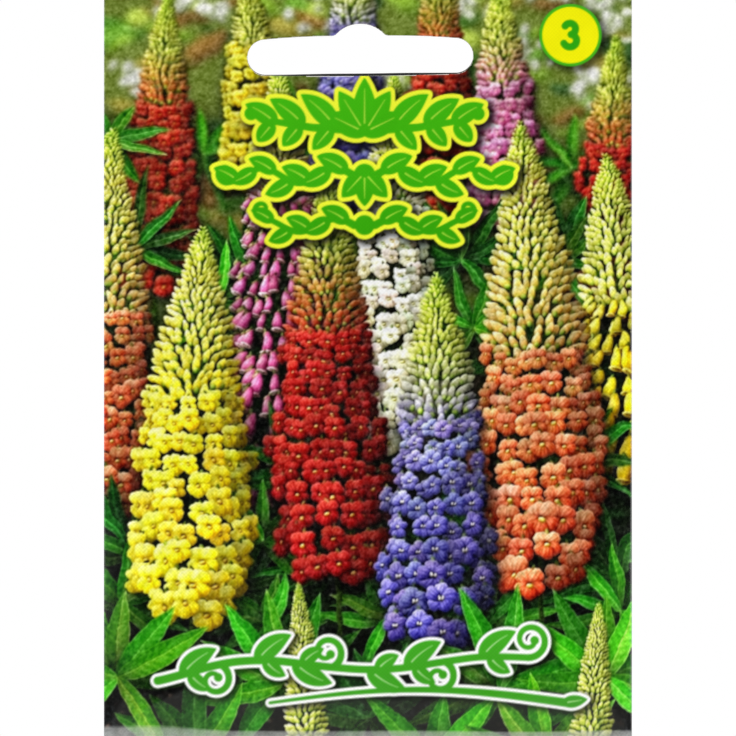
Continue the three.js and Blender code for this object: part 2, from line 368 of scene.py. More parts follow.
class FlowerSpike:
    """A tall flower spike. It opens from its foot up to a share of its length, then has buds.
    Girth is its radius, size its largest floret's, bend its sway and dim how lit it is."""

    BEADS_FROM = 0.86  # above this share of the length the buds are green beads
    # Step from whorl to whorl and gap round a whorl, both in sizes, and unevenness
    FLORET_STEP, FLORET_GAP, FLORETS_UNEVEN = 1.14, 0.95, 0.12
    BUD_STEP, BUD_GAP, BUDS_UNEVEN = 0.66, 0.76, 0.05

    def __init__(self, foot, tip, girth, size, floret, colours, open_to, bend=0.0, dim=1.0):
        self.foot, self.tip, self.girth, self.size = foot, tip, girth, size
        self.floret, self.colours = floret, colours
        self.open_to, self.bend, self.dim = open_to, bend, dim
        self.length = math.dist(foot, tip)

    def place(self, s):
        (x0, y0), (x1, y1) = self.foot, self.tip
        sway = self.bend * math.sin(math.pi * min(max(s, 0), 1)) / self.length
        return x0 + (x1 - x0) * s - (y1 - y0) * sway, y0 + (y1 - y0) * s + (x1 - x0) * sway

    def radius(self, s):
        foot = 0.62 + 0.38 * math.sin(UP * min(s / 0.2, 1))
        return self.girth * max(1 - s**2.1, 0) ** 0.9 * foot + 0.32

    def paint_stem(self, art):
        slope = math.atan2(self.tip[1] - self.foot[1], self.tip[0] - self.foot[0])
        for s in np.linspace(-0.3, 0.96, int(self.length * 2.6)):
            art.petal(*self.place(s), 1.6, 0.4, slope, dimmed(STEM, self.dim * 0.8), flat=1.5)
        for s in np.linspace(0.02, 0.9, 34):
            depth = 0.42 if s < self.open_to else 0.15
            art.shade(*self.place(s), self.radius(s) * 0.78, 1.3, depth)

    def whorls(self):
        """Each whorl's share of the length and the size of its florets, from the tip down."""
        s = 1.0
        while s > 0:
            here = self.size * (1 - 0.78 * s**1.25)
            yield s, here
            s -= (self.BUD_STEP if s > self.open_to else self.FLORET_STEP) * here / self.length

    def paint(self, art):
        self.paint_stem(art)
        for s, here in self.whorls():
            gap, uneven = self.BUD_GAP, self.BUDS_UNEVEN
            if s <= self.open_to:
                gap, uneven = self.FLORET_GAP, self.FLORETS_UNEVEN
            radius = self.radius(s) * art.draw.uniform(1 - uneven, 1 + 0.6 * uneven)
            count = max(round(math.pi * radius / (gap * here)), 2)
            shift = art.draw.uniform(0, 1)
            angles = [(-0.5 + (k + shift) / count) * math.pi for k in range(count)]
            for angle in sorted(angles, key=lambda a: -abs(a)):
                self.paint_one(art, s, here, radius, angle)

    def paint_calyx(self, spot, angle, light):
        """The short green stalk and cup that each open floret hangs from."""
        turn = UP + 0.5 * math.sin(angle) + spot.art.draw.uniform(-0.6, 0.6)
        dull = light * spot.art.draw.uniform(0.45, 0.95)
        spot.petal(0, 0.46, 0.3, 0.1, turn, dimmed(STEM, dull))
        spot.petal(0, 0.36, 0.2, 0.2, turn, dimmed(GREEN_BUD, dull))

    def paint_one(self, art, s, here, radius, angle):
        """One floret, bud or bead. The light comes from the left, and those at the sides are dimmer."""
        own, draw = self.colours, art.draw
        loose = 1.7 if s <= self.open_to else 1.0
        angle += loose * draw.uniform(-0.07, 0.07)
        x, y = self.place(s + loose * draw.uniform(-0.16, 0.16) * here / self.length)
        x += radius * math.sin(angle) * draw.uniform(0.95 - 0.08 * loose, 0.96 + 0.06 * loose)
        y += radius * (0.05 - 0.12 * math.cos(angle))
        light = self.dim * (0.76 + 0.26 * math.cos(angle) - 0.18 * math.sin(angle))
        light *= draw.uniform(0.84, 1.2)
        spot = Spot(art, x, y, here * draw.uniform(0.88, 1.16))
        if s > self.BEADS_FROM:
            share = (s - self.BEADS_FROM) / (1 - self.BEADS_FROM)
            bead = dimmed(mixed(own.buds, GREEN_TIP, share), light)
            spot.petal(0, 0, 0.5, 0.27, UP - 0.8 * math.sin(angle), bead, taper=-0.2, flat=0.4)
        elif s > self.open_to:
            share = (s - self.open_to) / (self.BEADS_FROM - self.open_to)
            colour = dimmed(mixed(own.upper, own.buds, min(1.25 * share, 1)), light)
            turn = UP - (1.15 - 0.4 * share) * math.sin(angle)
            spot.size *= 1.08
            flower_bud(spot, turn, colour, dimmed(GREEN_TIP, light * 0.9))
        else:
            share = min(s / self.open_to, 1) ** 2.5 * draw.uniform(0.4, 1)
            lights = light * draw.uniform(0.95, 1.05, 3)
            colour = dimmed(mixed(own.petals, own.upper, share), lights)
            paleness = draw.uniform(0.1, 0.6) * min(light, 1)
            pale = dimmed(mixed(own.petals, own.pale, paleness), lights)
            self.paint_calyx(spot, angle, light)
            self.floret(spot, angle, colour, pale, dimmed(own.throat, light))


RIB_LIGHT, VEIN_LIGHT, LEAF_EDGE_LIGHT = 0.5, 0.05, 0.28  # a leaf's ribs and margin over its blade


def pointed_leaf(art, x, y, long, wide, turn, bend, colour):
    """A pointed leaf with a midrib and side veins. x, y is its root."""
    found = art.window(x, y, long * 1.05)
    if found is None:
        return
    where, dx, dy = found
    c, s = math.cos(turn), math.sin(turn)
    t = (dx * c + dy * s) / long
    along = np.clip(t, 0, 1)
    w = dy * c - dx * s - bend * along**2 * long
    half = wide * np.sqrt(along + 1e-9) * (1 - along**1.7) * 1.35
    edge = half - np.abs(w)
    lit = 0.56 - 0.1 * np.sign(w * (c + 0.2)) - 0.12 * along
    lit = lit + 0.16 * (1 - np.abs(w) / (half + 1e-6))
    lit = lit + VEIN_LIGHT * np.cos(t * long * 5.0 - np.abs(w) * 4.4)
    lit = lit + RIB_LIGHT * hill(w, 0, 0.045 + 0.03 * (1 - along))
    lit = lit + LEAF_EDGE_LIGHT * hill(edge, 0.09, 0.09)
    art.lay(inked(-edge) * (t > 0) * (t < 1), toned(lit, colour), where)


def leaf_tuft(art, x, y, count, long, wide, colour, spread):
    """Leaves that spread from one root, in any order."""
    for k in art.draw.permutation(count):
        turn = UP + (k / (count - 1) - 0.5) * spread + art.draw.uniform(-0.15, 0.15)
        size = long * art.draw.uniform(0.7, 1.08)
        half_x, half_y = 0.45 * size * math.cos(turn), 0.45 * size * math.sin(turn)
        art.shade(x + half_x + 0.5, y + half_y - 0.6, 0.5 * size, wide * 1.3, 0.4, turn)
        width = wide * art.draw.uniform(0.85, 1.15)
        tone = dimmed(colour, art.draw.uniform(0.6, 1.08) * art.draw.uniform(0.86, 1.14, 3))
        pointed_leaf(art, x, y, size, width, turn, art.draw.uniform(-0.22, 0.22), tone)


def anywhere(art, top=1.0):
    """A random place on the print, up to a share of its height."""
    return art.draw.uniform(0, WIDTH), art.draw.uniform(0, top * HEIGHT)


GROUND, HAZE = "#0b1216", "#717f40"
FAR_GREENS = ["#83a044", "#4c7230", "#8f8747", "#80673d", "#a9bc5c", "#3a5530", "#6a8f40"]
SOILS = ["#4a372a", "#352e28", "#5a483c", "#2e3626", "#442f28"]
FAR_LEAVES, BLOSSOMS_EACH, CRUMBS, DIM_TUFTS = 560, 14, 2600, 46
BLOSSOM_PLACES = (
    (33, 112), (37, 106), (57, 111), (64, 104), (72, 99), (77, 106), (76, 113),
    (67, 114), (42, 98), (5, 99), (18, 109), (11, 113), (57, 92), (79, 96),
)  # fmt: skip


def paint_distance(art):
    """The border out of focus: green and earth above, with pale blossom, and dark soil below."""
    height = (pixel_middles(0, art.rows) / (art.rows * PIXEL))[:, None, None]
    low, high = hex_rgb(GROUND), hex_rgb(HAZE)
    art.ink[:] = low + (high - low) * np.clip((height - 0.3) / 0.42, 0, 1)
    for _ in range(FAR_LEAVES):
        x, y = anywhere(art)
        light = 0.14 + 0.98 * np.clip((y / HEIGHT - 0.22) / 0.5, 0, 1)
        colour = hex_rgb(art.draw.choice(FAR_GREENS)) * light
        long, wide = art.draw.uniform(1.6, 5), art.draw.uniform(0.6, 1.9)
        tone = (colour * 0.7, colour, colour * 1.12)
        art.petal(x, y, long, wide, art.draw.uniform(-0.6, 0.6), tone)
    art.blur(0.35)
    for x, y in BLOSSOM_PLACES:
        for _ in range(BLOSSOMS_EACH):
            size = art.draw.uniform(0.7, 1.4)
            px, py = x + art.draw.normal(0, 2.2), y + art.draw.normal(0, 1.7)
            tone = dimmed(WHITE_FLOWER, art.draw.uniform(0.8, 1))
            art.petal(px, py, size, size * 0.7, art.draw.uniform(0, 3), tone, ribs=0.05)
    art.blur(0.28)
    paint_soil(art)


def paint_soil(art):
    """Crumbs of soil and dim leaves, which show between the stems low in the picture."""
    for _ in range(CRUMBS):
        x, y = anywhere(art, 0.55)
        size = art.draw.uniform(0.15, 0.6)
        colour = hex_rgb(art.draw.choice(SOILS)) * art.draw.uniform(0.5, 1.7)
        tone = (colour * 0.15, colour, colour * 2.2)
        art.petal(x, y, size, 0.7 * size, art.draw.uniform(0, 3), tone)
    for _ in range(DIM_TUFTS):
        x, y = anywhere(art, 0.5)
        dim = dimmed(DEEP_LEAF, art.draw.uniform(0.45, 0.9))
        leaf_tuft(art, x, y, 7, art.draw.uniform(7, 12), 1.5, dim, art.draw.uniform(3.4, 5.4))
    art.blur(0.1)


# The border's plants, row by row towards the near one, in mm on the print.
# A spike: foot, tip, girth, floret size, floret, colours, share in flower, then bend and light
FAR_SPIKES = (
    ((23, 82), (22, 116), 4.6, 2.6, lipped_floret, CITRON, 0.66, 0, 0.88),
    ((50.5, 80), (51, 120), 4.9, 2.7, lipped_floret, BRIGHT_RED, 0.62, 0, 0.82),
    ((8, 66), (9.5, 113), 5.6, 3.0, lipped_floret, BRIGHT_RED, 0.62, 0, 0.9),
    ((37, 78), (38, 121), 5.4, 2.9, star_floret, BLUE_VIOLET, 0.7, 0, 0.96),
    ((61, 76), (60, 114), 5.2, 2.8, lipped_floret, ROSE, 0.6, 0, 0.97),
    ((76.5, 62), (77.5, 106), 5.8, 3.0, lipped_floret, DEEP_CRIMSON, 0.62, 0, 0.9),
)
MIDDLE_SPIKES = (
    ((45, 44), (44, 101), 6.6, 3.0, lipped_floret, IVORY, 0.62, 0.6, 0.98),
    ((25, 36), (26.5, 103), 7.4, 3.4, bell_floret, ROSE, 0.66, -0.8),
    ((-1, 34), (1.5, 92), 7.6, 3.3, lipped_floret, CORAL, 0.5, 0, 0.97),
    ((81, 40), (76, 88), 7.4, 3.4, bell_floret, CITRON, 0.55, 0, 0.97),
)
NEAR_SPIKES = (
    ((35.5, 22), (34, 86), 8.6, 3.6, lipped_floret, DEEP_CRIMSON, 0.62, 0.8, 0.82),
    ((66, 24), (63, 93), 9.4, 3.8, lipped_floret, CORAL, 0.5, -1.0, 0.94),
    ((13.5, 19), (15, 77), 9.2, 3.8, lipped_floret, CANARY, 0.56, 0.7),
    ((50, 13), (50.5, 70), 8.8, 3.9, star_floret, BLUE_VIOLET, 0.62, -0.5, 0.92),
)
SPROUTS = (
    ((31, -4), (29.5, 23), 2.7, 1.7, lipped_floret, SPROUT, 0.1),
    ((73.5, -5), (75, 20), 2.6, 1.7, lipped_floret, SPROUT, 0.15),
)
# Tufts: their roots, how many leaves each has, a leaf's length and width, its tone, the spread
BACK_TUFTS = ((((15, 88), (29, 92), (45, 84), (57, 90), (71, 86)), 9, 9, 1.2, LEAF, 5.4),)
FAR_ROOTS = (
    (-2, 58), (14, 50), (30, 60), (48, 52), (66, 58),
    (81, 50), (22, 70), (54, 72), (4, 74), (70, 74),
)  # fmt: skip
FAR_TUFTS = (
    (FAR_ROOTS, 10, 12, 1.5, DEEP_LEAF, 4.2),
    (((17, 66), (69, 72), (56, 62), (1, 90)), 8, 9, 1.3, LEAF, 5.0),
)
LOW_ROOTS = ((4, 28), (20, 22), (36, 26), (48, 24), (62, 30), (78, 24), (30, 40), (70, 42))
FOOT_ROOTS = ((3, 20), (25, 17), (43, 18), (58, 17), (78, 19), (24, 30), (57, 30))
MIDDLE_TUFTS = ((LOW_ROOTS, 10, 14, 1.6, DEEP_LEAF, 4.0), (FOOT_ROOTS, 9, 11, 1.7, LEAF, 4.8))
NEAR_TUFTS = (
    (((27, 8),), 9, 14, 2.5, LEAF, 4.6),
    (((40, 3),), 9, 14, 2.5, DEEP_LEAF, 4.6),
    (((60, 7),), 10, 16, 2.5, LEAF, 4.6),
    (((14, -3),), 9, 16, 2.5, LEAF, 4.6),
    (((50, -5),), 9, 16, 2.5, LIME_LEAF, 4.6),
    (((2, 9), (76, 9)), 9, 17, 2.5, LIME_LEAF, 4.6),
    (((67, -4),), 9, 16, 2.5, LIME_LEAF, 4.6),
)


def paint_spikes(art, spikes):
    for spike in spikes:
        FlowerSpike(*spike).paint(art)


def paint_tufts(art, tufts):
    for roots, *leaves in tufts:
        for x, y in roots:
            leaf_tuft(art, x, y, *leaves)


def paint_border(art):
    """The flower border, from the far row to the near one. Each row is sharper than the last."""
    paint_distance(art)
    paint_tufts(art, BACK_TUFTS)
    art.blur(0.16)
    paint_spikes(art, FAR_SPIKES)
    art.blur(0.12)
    paint_tufts(art, FAR_TUFTS)
    paint_spikes(art, MIDDLE_SPIKES)
    paint_tufts(art, MIDDLE_TUFTS)
    paint_spikes(art, NEAR_SPIKES)
    art.warp(0.14, 1.1)
    paint_tufts(art, NEAR_TUFTS)
    paint_spikes(art, SPROUTS)
    art.warp(0.05, 0.4)


LUMINANCE = np.array([0.3, 0.59, 0.11])
COLOUR_SOFTNESS, COLOUR_GAIN = 0.2, 1.12
SHARPENING_SIZE, SHARPENING = 0.12, 0.6
CONTRAST, CONTRAST_MIDDLE = 0.22, 0.42
GRAINS = ((0.09, 0.045), (0.22, 0.028))  # size in mm and strength of fine and coarse grain


def finish_picture(art):
    """As a repro house does it: softer in colour than in tone, sharpened, with film grain."""
    level = (art.ink @ LUMINANCE)[..., None]
    colour = COLOUR_GAIN * blurred(art.ink - level, COLOUR_SOFTNESS)
    level = level + SHARPENING * (level - blurred(level, SHARPENING_SIZE))
    art.ink[:] = np.clip(level + colour, 0, 1)
    art.ink += CONTRAST * (art.ink - CONTRAST_MIDDLE) * 4 * art.ink * (1 - art.ink)
    for size, strength in GRAINS:
        grain = blurred(art.draw.normal(0, 1, level.shape), size)
        art.ink += strength * grain / grain.std()
    art.ink[:] = np.clip(art.ink, 0, 1)


# ---------------------------------------------------------------------------
# Ornaments, numerals and rules, printed over a picture
# ---------------------------------------------------------------------------


class Motif:
    """A shape for overprinting, kept as each pixel's distance from its edge, negative inside."""

    RIM_REACH = 2.2  # how far outside a dot its distance is still worked out, in mm
    DOT_STEP = 0.12  # how close the dots of a stroke are
    SHADOW_GROWTH = 0.35  # how far a shadow reaches past what casts it

    def __init__(self, art, x, y, half_width, half_height):
        left, low = max(int((x - half_width) / PIXEL), 0), max(int((y - half_height) / PIXEL), 0)
        right = min(int((x + half_width) / PIXEL), art.columns)
        high = min(int((y + half_height) / PIXEL), art.rows)
        self.where = (slice(low, high), slice(left, right))
        self.across = pixel_middles(left, right) - x
        self.up = pixel_middles(low, high) - y
        self.far = np.full((high - low, right - left), FAR_OFF)
        self.ribs = []

    def dot(self, x, y, radius):
        reach = radius + self.RIM_REACH
        columns = slice(*np.searchsorted(self.across, (x - reach, x + reach)))
        rows = slice(*np.searchsorted(self.up, (y - reach, y + reach)))
        far = np.hypot(self.across[columns][None, :] - x, self.up[rows][:, None] - y) - radius
        np.minimum(self.far[rows, columns], far, out=self.far[rows, columns])

    def line(self, points, start, end=None):
        """A stroke through points, its half width running from start to end."""
        points = np.asarray(points, float)
        end = start if end is None else end
        run = np.concatenate([[0], np.cumsum(np.hypot(*np.diff(points, axis=0).T))])
        for d in np.arange(0, run[-1] + self.DOT_STEP / 2, self.DOT_STEP):
            x, y = (np.interp(d, run, points[:, k]) for k in (0, 1))
            self.dot(x, y, start + (end - start) * min(d / run[-1], 1))

    def leaf(self, x, y, long, wide, turn, bend=0.0):
        """A leaf made of dots along its rib, fattest a third of the way up."""
        rib = []
        for t in np.linspace(0, 1, int(long / 0.14) + 2):
            angle = turn + bend * t
            radius = wide * math.sin(math.pi * t**0.72) ** 0.9 if 0 < t < 1 else 0.0
            px, py = x + long * t * math.cos(angle), y + long * t * math.sin(angle)
            self.dot(px, py, radius + 0.03)
            if 0.16 < t < 0.8:
                rib.append((px, py))
        self.ribs.append(rib)

    def curl(self, x, y, radius, turn, hand, turns, start, end):
        """A scroll that winds in from x, y, which it leaves along turn."""
        side = turn + hand * UP
        cx, cy = x + radius * math.cos(side), y + radius * math.sin(side)
        points = []
        for t in np.linspace(0, 1, 40):
            angle = side + math.pi + hand * t * turns * 2 * math.pi
            reach = radius * (1 - 0.72 * t)
            points.append((cx + reach * math.cos(angle), cy + reach * math.sin(angle)))
        self.line(points, start, end)
        self.dot(*points[-1], end * 1.9)

    def bar(self, x0, y0, x1, y1, corner):
        """A filled rectangle with round corners."""
        dx = np.abs(self.across - (x0 + x1) / 2)[None, :] - (x1 - x0) / 2 + corner
        dy = np.abs(self.up - (y0 + y1) / 2)[:, None] - (y1 - y0) / 2 + corner
        far = np.hypot(np.maximum(dx, 0), np.maximum(dy, 0)) + np.minimum(np.maximum(dx, dy), 0) - corner
        np.minimum(self.far, far, out=self.far)

    def print_ribs(self, art, colour, weight):
        self.far[:] = FAR_OFF
        for rib in self.ribs:
            self.line(rib, weight, weight / 2)
        self.print_on(art, colour)

    def print_on(self, art, fill, top_fill=None, rim=0.0, rim_colour=None, shadow=0.0, drop=0.5):
        """Prints a soft shadow, dropped down and to the right, then the rim, then the shape."""
        if shadow:
            solid = inked(self.far - rim - self.SHADOW_GROWTH)[..., None]
            shift = round(drop / PIXEL)
            art.ink[self.where] *= 1 - shadow * np.roll(blurred(solid, drop), (-shift, shift), (0, 1))
        if rim:
            art.lay(inked(self.far - rim), hex_rgb(rim_colour), self.where)
        share = np.linspace(0, 1, len(self.up))[:, None, None]
        colour = hex_rgb(fill) + (hex_rgb(top_fill or fill) - hex_rgb(fill)) * share
        art.lay(inked(self.far), colour, self.where)


def arc(cx, cy, rx, ry, start, end, count=20):
    return [(cx + rx * math.cos(a), cy + ry * math.sin(a)) for a in np.linspace(start, end, count)]


NUMERAL_WIDTH, NUMERAL_GAP = 0.56, 0.36  # as shares of their height

# Plain numerals as strokes in a box one wide and one high
DIGITS = {
    "0": [arc(0.5, 0.5, 0.5, 0.5, 0, 4 * UP, 26)],
    "1": [[(0.12, 0.76), (0.55, 1.0), (0.55, 0.0)]],
    "2": [arc(0.5, 0.7, 0.46, 0.3, 2.9, -0.75, 14) + [(0.04, 0.0), (1.0, 0.0)]],
    "3": [arc(0.46, 0.76, 0.42, 0.24, 2.6, -1.35, 14) + arc(0.46, 0.27, 0.5, 0.27, 1.3, -2.7, 14)],
    "4": [[(0.75, 0.0), (0.75, 1.0), (0.0, 0.3), (1.0, 0.3)]],
    "5": [[(0.92, 1.0), (0.18, 1.0), (0.1, 0.56)] + arc(0.46, 0.32, 0.5, 0.32, 2.0, -2.6, 16)],
    "6": [[(0.84, 0.96), (0.5, 0.9), (0.16, 0.62)] + arc(0.5, 0.31, 0.48, 0.31, 2.8, -3.6, 22)],
    "7": [[(0.0, 1.0), (1.0, 1.0), (0.36, 0.0)]],
    "8": [arc(0.5, 0.76, 0.4, 0.24, -UP, 3 * UP), arc(0.5, 0.26, 0.48, 0.26, UP, 5 * UP)],
    "9": [arc(0.5, 0.69, 0.48, 0.31, -0.4, 6.2, 22) + [(0.84, 0.4), (0.5, 0.08), (0.16, 0.04)]],
}


def numerals(motif, text, height, weight):
    """Numerals about the motif's middle, with strokes of half width weight."""
    wide = height * NUMERAL_WIDTH
    pitch = wide + height * NUMERAL_GAP
    for k, digit in enumerate(text):
        left = (k - (len(text) - 1) / 2) * pitch - wide / 2
        for stroke in DIGITS[digit]:
            motif.line([(left + wide * u, height * (v - 0.5)) for u, v in stroke], weight)


def leafy_band(motif, y, half, height, leaf_long, leaf_wide, turns):
    """A waved stem each side of the middle, a leaf on every rise and fall, and a curl at the end."""
    steps = int(turns * 4)
    for side in (-1, 1):
        xs = np.linspace(1.6, half, 60)
        ys = y + height * np.sin((xs - 1.6) / (half - 1.6) * turns * 4 * UP)
        motif.line(list(zip(side * xs, ys)), 0.6, 0.4)
        for k in range(steps):
            t = (k + 0.5) / steps
            i = int(t * 59)
            out = 1 if k % 2 == 0 else -1
            turn, bend = out * (UP - side * 0.85), -0.25 * out * side
            shrink = 1 - 0.22 * t
            motif.leaf(side * xs[i], ys[i], leaf_long * shrink, leaf_wide * shrink, turn, bend)
        way = 0 if side > 0 else math.pi
        motif.curl(side * half, ys[-1], height * 0.9 + 0.5, way, side, 0.9, 0.42, 0.3)


# Where the overprints stand: their middle, then half their width and height
TITLE_PLACE = (39.5, 87.0, 29, 17)
FOOT_PLACE = (39.2, 11.4, 38, 9.5)
ROUNDEL_PLACE = (70.7, 106.3, 9, 9)
ROUNDEL_RADIUS, ROUNDEL_RIM = 4.28, 0.44
ROUNDEL_NUMERAL = (3.6, 0.54)  # its height and its strokes' half width


def print_title_ornament(art):
    """Three rows of leaves in green, edged with yellow, over a soft shadow."""
    motif = Motif(art, *TITLE_PLACE)
    for k in range(-2, 3):
        motif.leaf(0, 4.6, 8.2 - abs(k) * 0.9, 1.75, UP + k * 0.56)
    for side in (-1, 1):
        for k, (x, long) in enumerate(((4.6, 6.9), (9.4, 6.2), (13.6, 5.2))):
            root = 5.6 + 0.25 * k
            motif.leaf(side * x, root, long, 1.6 - 0.1 * k, UP - side * (0.62 + 0.1 * k), -0.2 * side)
            motif.leaf(side * (x + 0.5), root - 0.4, long * 0.62, 1.25, -UP + side * 0.7)
        motif.line([(side, 4.9), (side * 8, 5.3), (side * 15.5, 6.5)], 0.7, 0.45)
        motif.dot(side * 17.2, 7.4, 1.0)
    leafy_band(motif, -2.0, 21.0, 1.1, 4.9, 1.4, 1.75)
    for k in (-1, 0, 1):
        motif.leaf(0, -1.6, 5.0, 1.45, -UP + k * 0.75)
    motif.dot(0, -1.8, 1.6)
    leafy_band(motif, -9.5, 15.5, 1.0, 4.3, 1.3, 1.25)
    motif.dot(0, -9.5, 1.5)
    motif.print_on(art, "#35a608", "#47c210", rim=0.68, rim_colour="#f8ff38", shadow=0.85)
    motif.print_ribs(art, "#b4e444", 0.13)


def print_foot_ornament(art):
    """A vine in green, edged with white, with a long stroke under it."""
    motif = Motif(art, *FOOT_PLACE)
    xs = np.linspace(-31, 25, 90)
    ys = np.interp(xs, (-31, -24, -15, -6, 4, 13, 21, 25), (-3.4, -0.6, 0.6, -0.8, -1.4, 0.2, 1.2, 0.4))
    ys = np.convolve(np.pad(ys, 8, mode="edge"), np.ones(17) / 17, "valid")
    motif.line(list(zip(xs, ys)), 0.62, 0.5)
    for k, (x, y) in enumerate(zip(xs[6:86:9], ys[6:86:9])):
        out = 1 if k % 2 == 0 else -1
        if k % 3 == 1:
            motif.curl(x, y, 2.5, 0.35 * out, out, 1.1, 0.55, 0.34)
        else:
            motif.leaf(x, y, 6.4, 1.5, 0.95 if out > 0 else -0.8, -0.3 * out)
            motif.leaf(x + 1.2, y, 3.8, 1.1, -0.95 if out > 0 else 0.9, 0.3 * out)
    motif.curl(xs[-1], ys[-1], 2.7, -0.1, 1, 1.25, 0.52, 0.34)
    sweep = [(x, -6.2 + 2.0 * math.sin((x + 14) / 45 * math.pi)) for x in np.linspace(-14, 31, 60)]
    motif.line(sweep, 0.22, 0.65)
    motif.leaf(30.4, -6.2, 3.6, 0.9, 0.15)
    motif.print_on(art, "#3a9c1c", "#48b428", rim=0.52, rim_colour="#ffffff", shadow=0.7, drop=0.4)
    motif.print_ribs(art, "#b8e8a0", 0.12)


def print_roundel(art):
    """A yellow disc with a green rim and a plain numeral."""
    disc = Motif(art, *ROUNDEL_PLACE)
    disc.dot(0, 0, ROUNDEL_RADIUS)
    disc.print_on(art, "#fffb08", rim=ROUNDEL_RIM, rim_colour="#48bc1c", shadow=0.6)
    figure = Motif(art, *ROUNDEL_PLACE)
    numerals(figure, "3", *ROUNDEL_NUMERAL)
    figure.print_on(art, "#2fae12")


def painted_picture():
    art = Print("#000000", 5)
    paint_border(art)
    finish_picture(art)
    return art


def overprint(art):
    print_title_ornament(art)
    print_foot_ornament(art)
    print_roundel(art)


# ---------------------------------------------------------------------------
# The back's print: plain pictograms and a sowing calendar
# ---------------------------------------------------------------------------


BAND_GREEN, FRESH_GREEN, BAND_YELLOW = "#2c8f2f", "#5cb83a", "#f2d51f"
PALE_GREEN, DARK_TEXT, WHITE_INK = "#e6f0d6", "#33402c", "#ffffff"
SOIL_BROWN, SKY_BLUE = "#8a5a2c", "#2c84c4"
SIGN_REACH = 8  # half the square that a sign is printed in


def print_shape(art, x, y, colour, build, reach=SIGN_REACH):
    motif = Motif(art, x, y, reach, reach)
    build(motif)
    motif.print_on(art, colour)


def print_number(art, x, y, colour, text, height):
    print_shape(art, x, y, colour, lambda m: numerals(m, text, height, 0.17))


def print_header_band(art):
    """A green band across the header, with a waved lower edge and a yellow line along it."""
    u, v = pixel_middles(0, art.columns), pixel_middles(0, art.rows)
    edge = 94.0 + 1.6 * np.sin(u / WIDTH * 2 * math.pi + 0.6)
    above = v[:, None] - edge[None, :]
    share = np.clip(above / 22, 0, 1)[..., None]
    art.lay(inked(-above), hex_rgb(BAND_GREEN) + (hex_rgb(FRESH_GREEN) - hex_rgb(BAND_GREEN)) * share)
    art.lay(inked(np.abs(above + 0.9) - 0.32), hex_rgb(BAND_YELLOW))


SMALL_PICTURE_SHAPE = 1.18  # its height over its width
SHOWN = (60.0, 9.0, 14.0)  # how wide a part of the front it shows, and that part's left and foot


def print_small_picture(art, picture, x, y, width):
    """The middle of the front's picture again, small, in a thin frame."""
    height = width * SMALL_PICTURE_SHAPE
    shown, shown_left, shown_low = SHOWN
    columns, rows = round(width / PIXEL), round(height / PIXEL)
    i = ((shown_left + np.linspace(0, shown, columns)) / PIXEL).astype(int)
    j = ((shown_low + np.linspace(0, shown * height / width, rows)) / PIXEL).astype(int)
    soft = blurred(picture.ink, 0.12)
    left, low = round(x / PIXEL), round(y / PIXEL)
    art.ink[low : low + rows, left : left + columns] = soft[j[:, None], i[None, :]]
    edge = Motif(art, x + width / 2, y + height / 2, width, height)
    corners = [(-1, -1), (1, -1), (1, 1), (-1, 1), (-1, -1)]
    edge.line([(side * width / 2, end * height / 2) for side, end in corners], 0.2)
    edge.print_on(art, BAND_GREEN)


def sun_sign(m):
    m.dot(0, 0, 1.7)
    for k in range(8):
        c, s = math.cos(k * UP / 2), math.sin(k * UP / 2)
        m.line([(2.4 * c, 2.4 * s), (3.4 * c, 3.4 * s)], 0.28)


def drop_sign(m):
    m.dot(0, -0.9, 1.75)
    m.line([(0, -0.3), (0, 2.9)], 1.5, 0.1)


def height_sign(m):
    m.line([(-2.2, -3), (2.2, -3)], 0.2)
    m.line([(-1.6, -2.6), (-1.6, 2.8)], 0.18)
    m.line([(-2.3, 2.0), (-1.6, 2.9), (-0.9, 2.0)], 0.18)
    m.line([(1.0, -3), (1.0, 1.0)], 0.22)
    for k in range(4):
        m.dot(1.0, -0.2 + 0.8 * k, 0.85 - 0.17 * k)


def spacing_sign(m):
    for side in (-1, 1):
        m.line([(2.4 * side, -2.6), (2.4 * side, 0.6)], 0.22)
        m.leaf(2.4 * side, -0.6, 2.4, 0.55, UP + 0.6)
        m.leaf(2.4 * side, -0.6, 2.4, 0.55, UP - 0.6)
        m.line([(1.0 * side, -2.0), (1.7 * side, -1.4)], 0.16)
        m.line([(1.0 * side, -0.8), (1.7 * side, -1.4)], 0.16)
    m.line([(-1.6, -1.4), (1.6, -1.4)], 0.16)


SIGN_PLACE, SIGN_PITCH, SIGN_RADIUS = (45.5, 82.4), (17.5, 13.2), 5.0
SIGNS = (
    (sun_sign, "#e8a400", None),
    (drop_sign, SKY_BLUE, None),
    (height_sign, BAND_GREEN, "90"),
    (spacing_sign, BAND_GREEN, "40"),
)


def print_signs(art):
    """Sun, water, height and spacing, each in a pale disc, with a plain number under the last two."""
    for k, (sign, colour, text) in enumerate(SIGNS):
        x, y = SIGN_PLACE[0] + SIGN_PITCH[0] * (k % 2), SIGN_PLACE[1] - SIGN_PITCH[1] * (k // 2)
        print_shape(art, x, y, PALE_GREEN, lambda m: m.dot(0, 0, SIGN_RADIUS))
        print_shape(art, x, y, colour, sign)
        if text:
            print_number(art, x, y - 7.0, DARK_TEXT, text, 2.0)


def seed_row_sign(m):
    m.dot(0, 0, 0.75)
    m.line([(-2, 1.2), (2, 1.2)], 0.16)


def sprout_row_sign(m):
    m.line([(0, -2), (0, 0.6)], 0.2)
    for lean in (0.7, -0.7):
        m.leaf(0, -0.4, 2.3, 0.6, UP + lean)


def flower_row_sign(m):
    for k in range(5):
        m.dot(math.cos(UP + k * 4 * UP / 5), math.sin(UP + k * 4 * UP / 5), 0.72)


# The calendar's rows: the months that a bar runs between, its colour and its sign
CALENDAR_ROWS = (
    (2, 5, SOIL_BROWN, seed_row_sign),
    (3, 6, FRESH_GREEN, sprout_row_sign),
    (5, 8, "#d8407a", flower_row_sign),
)


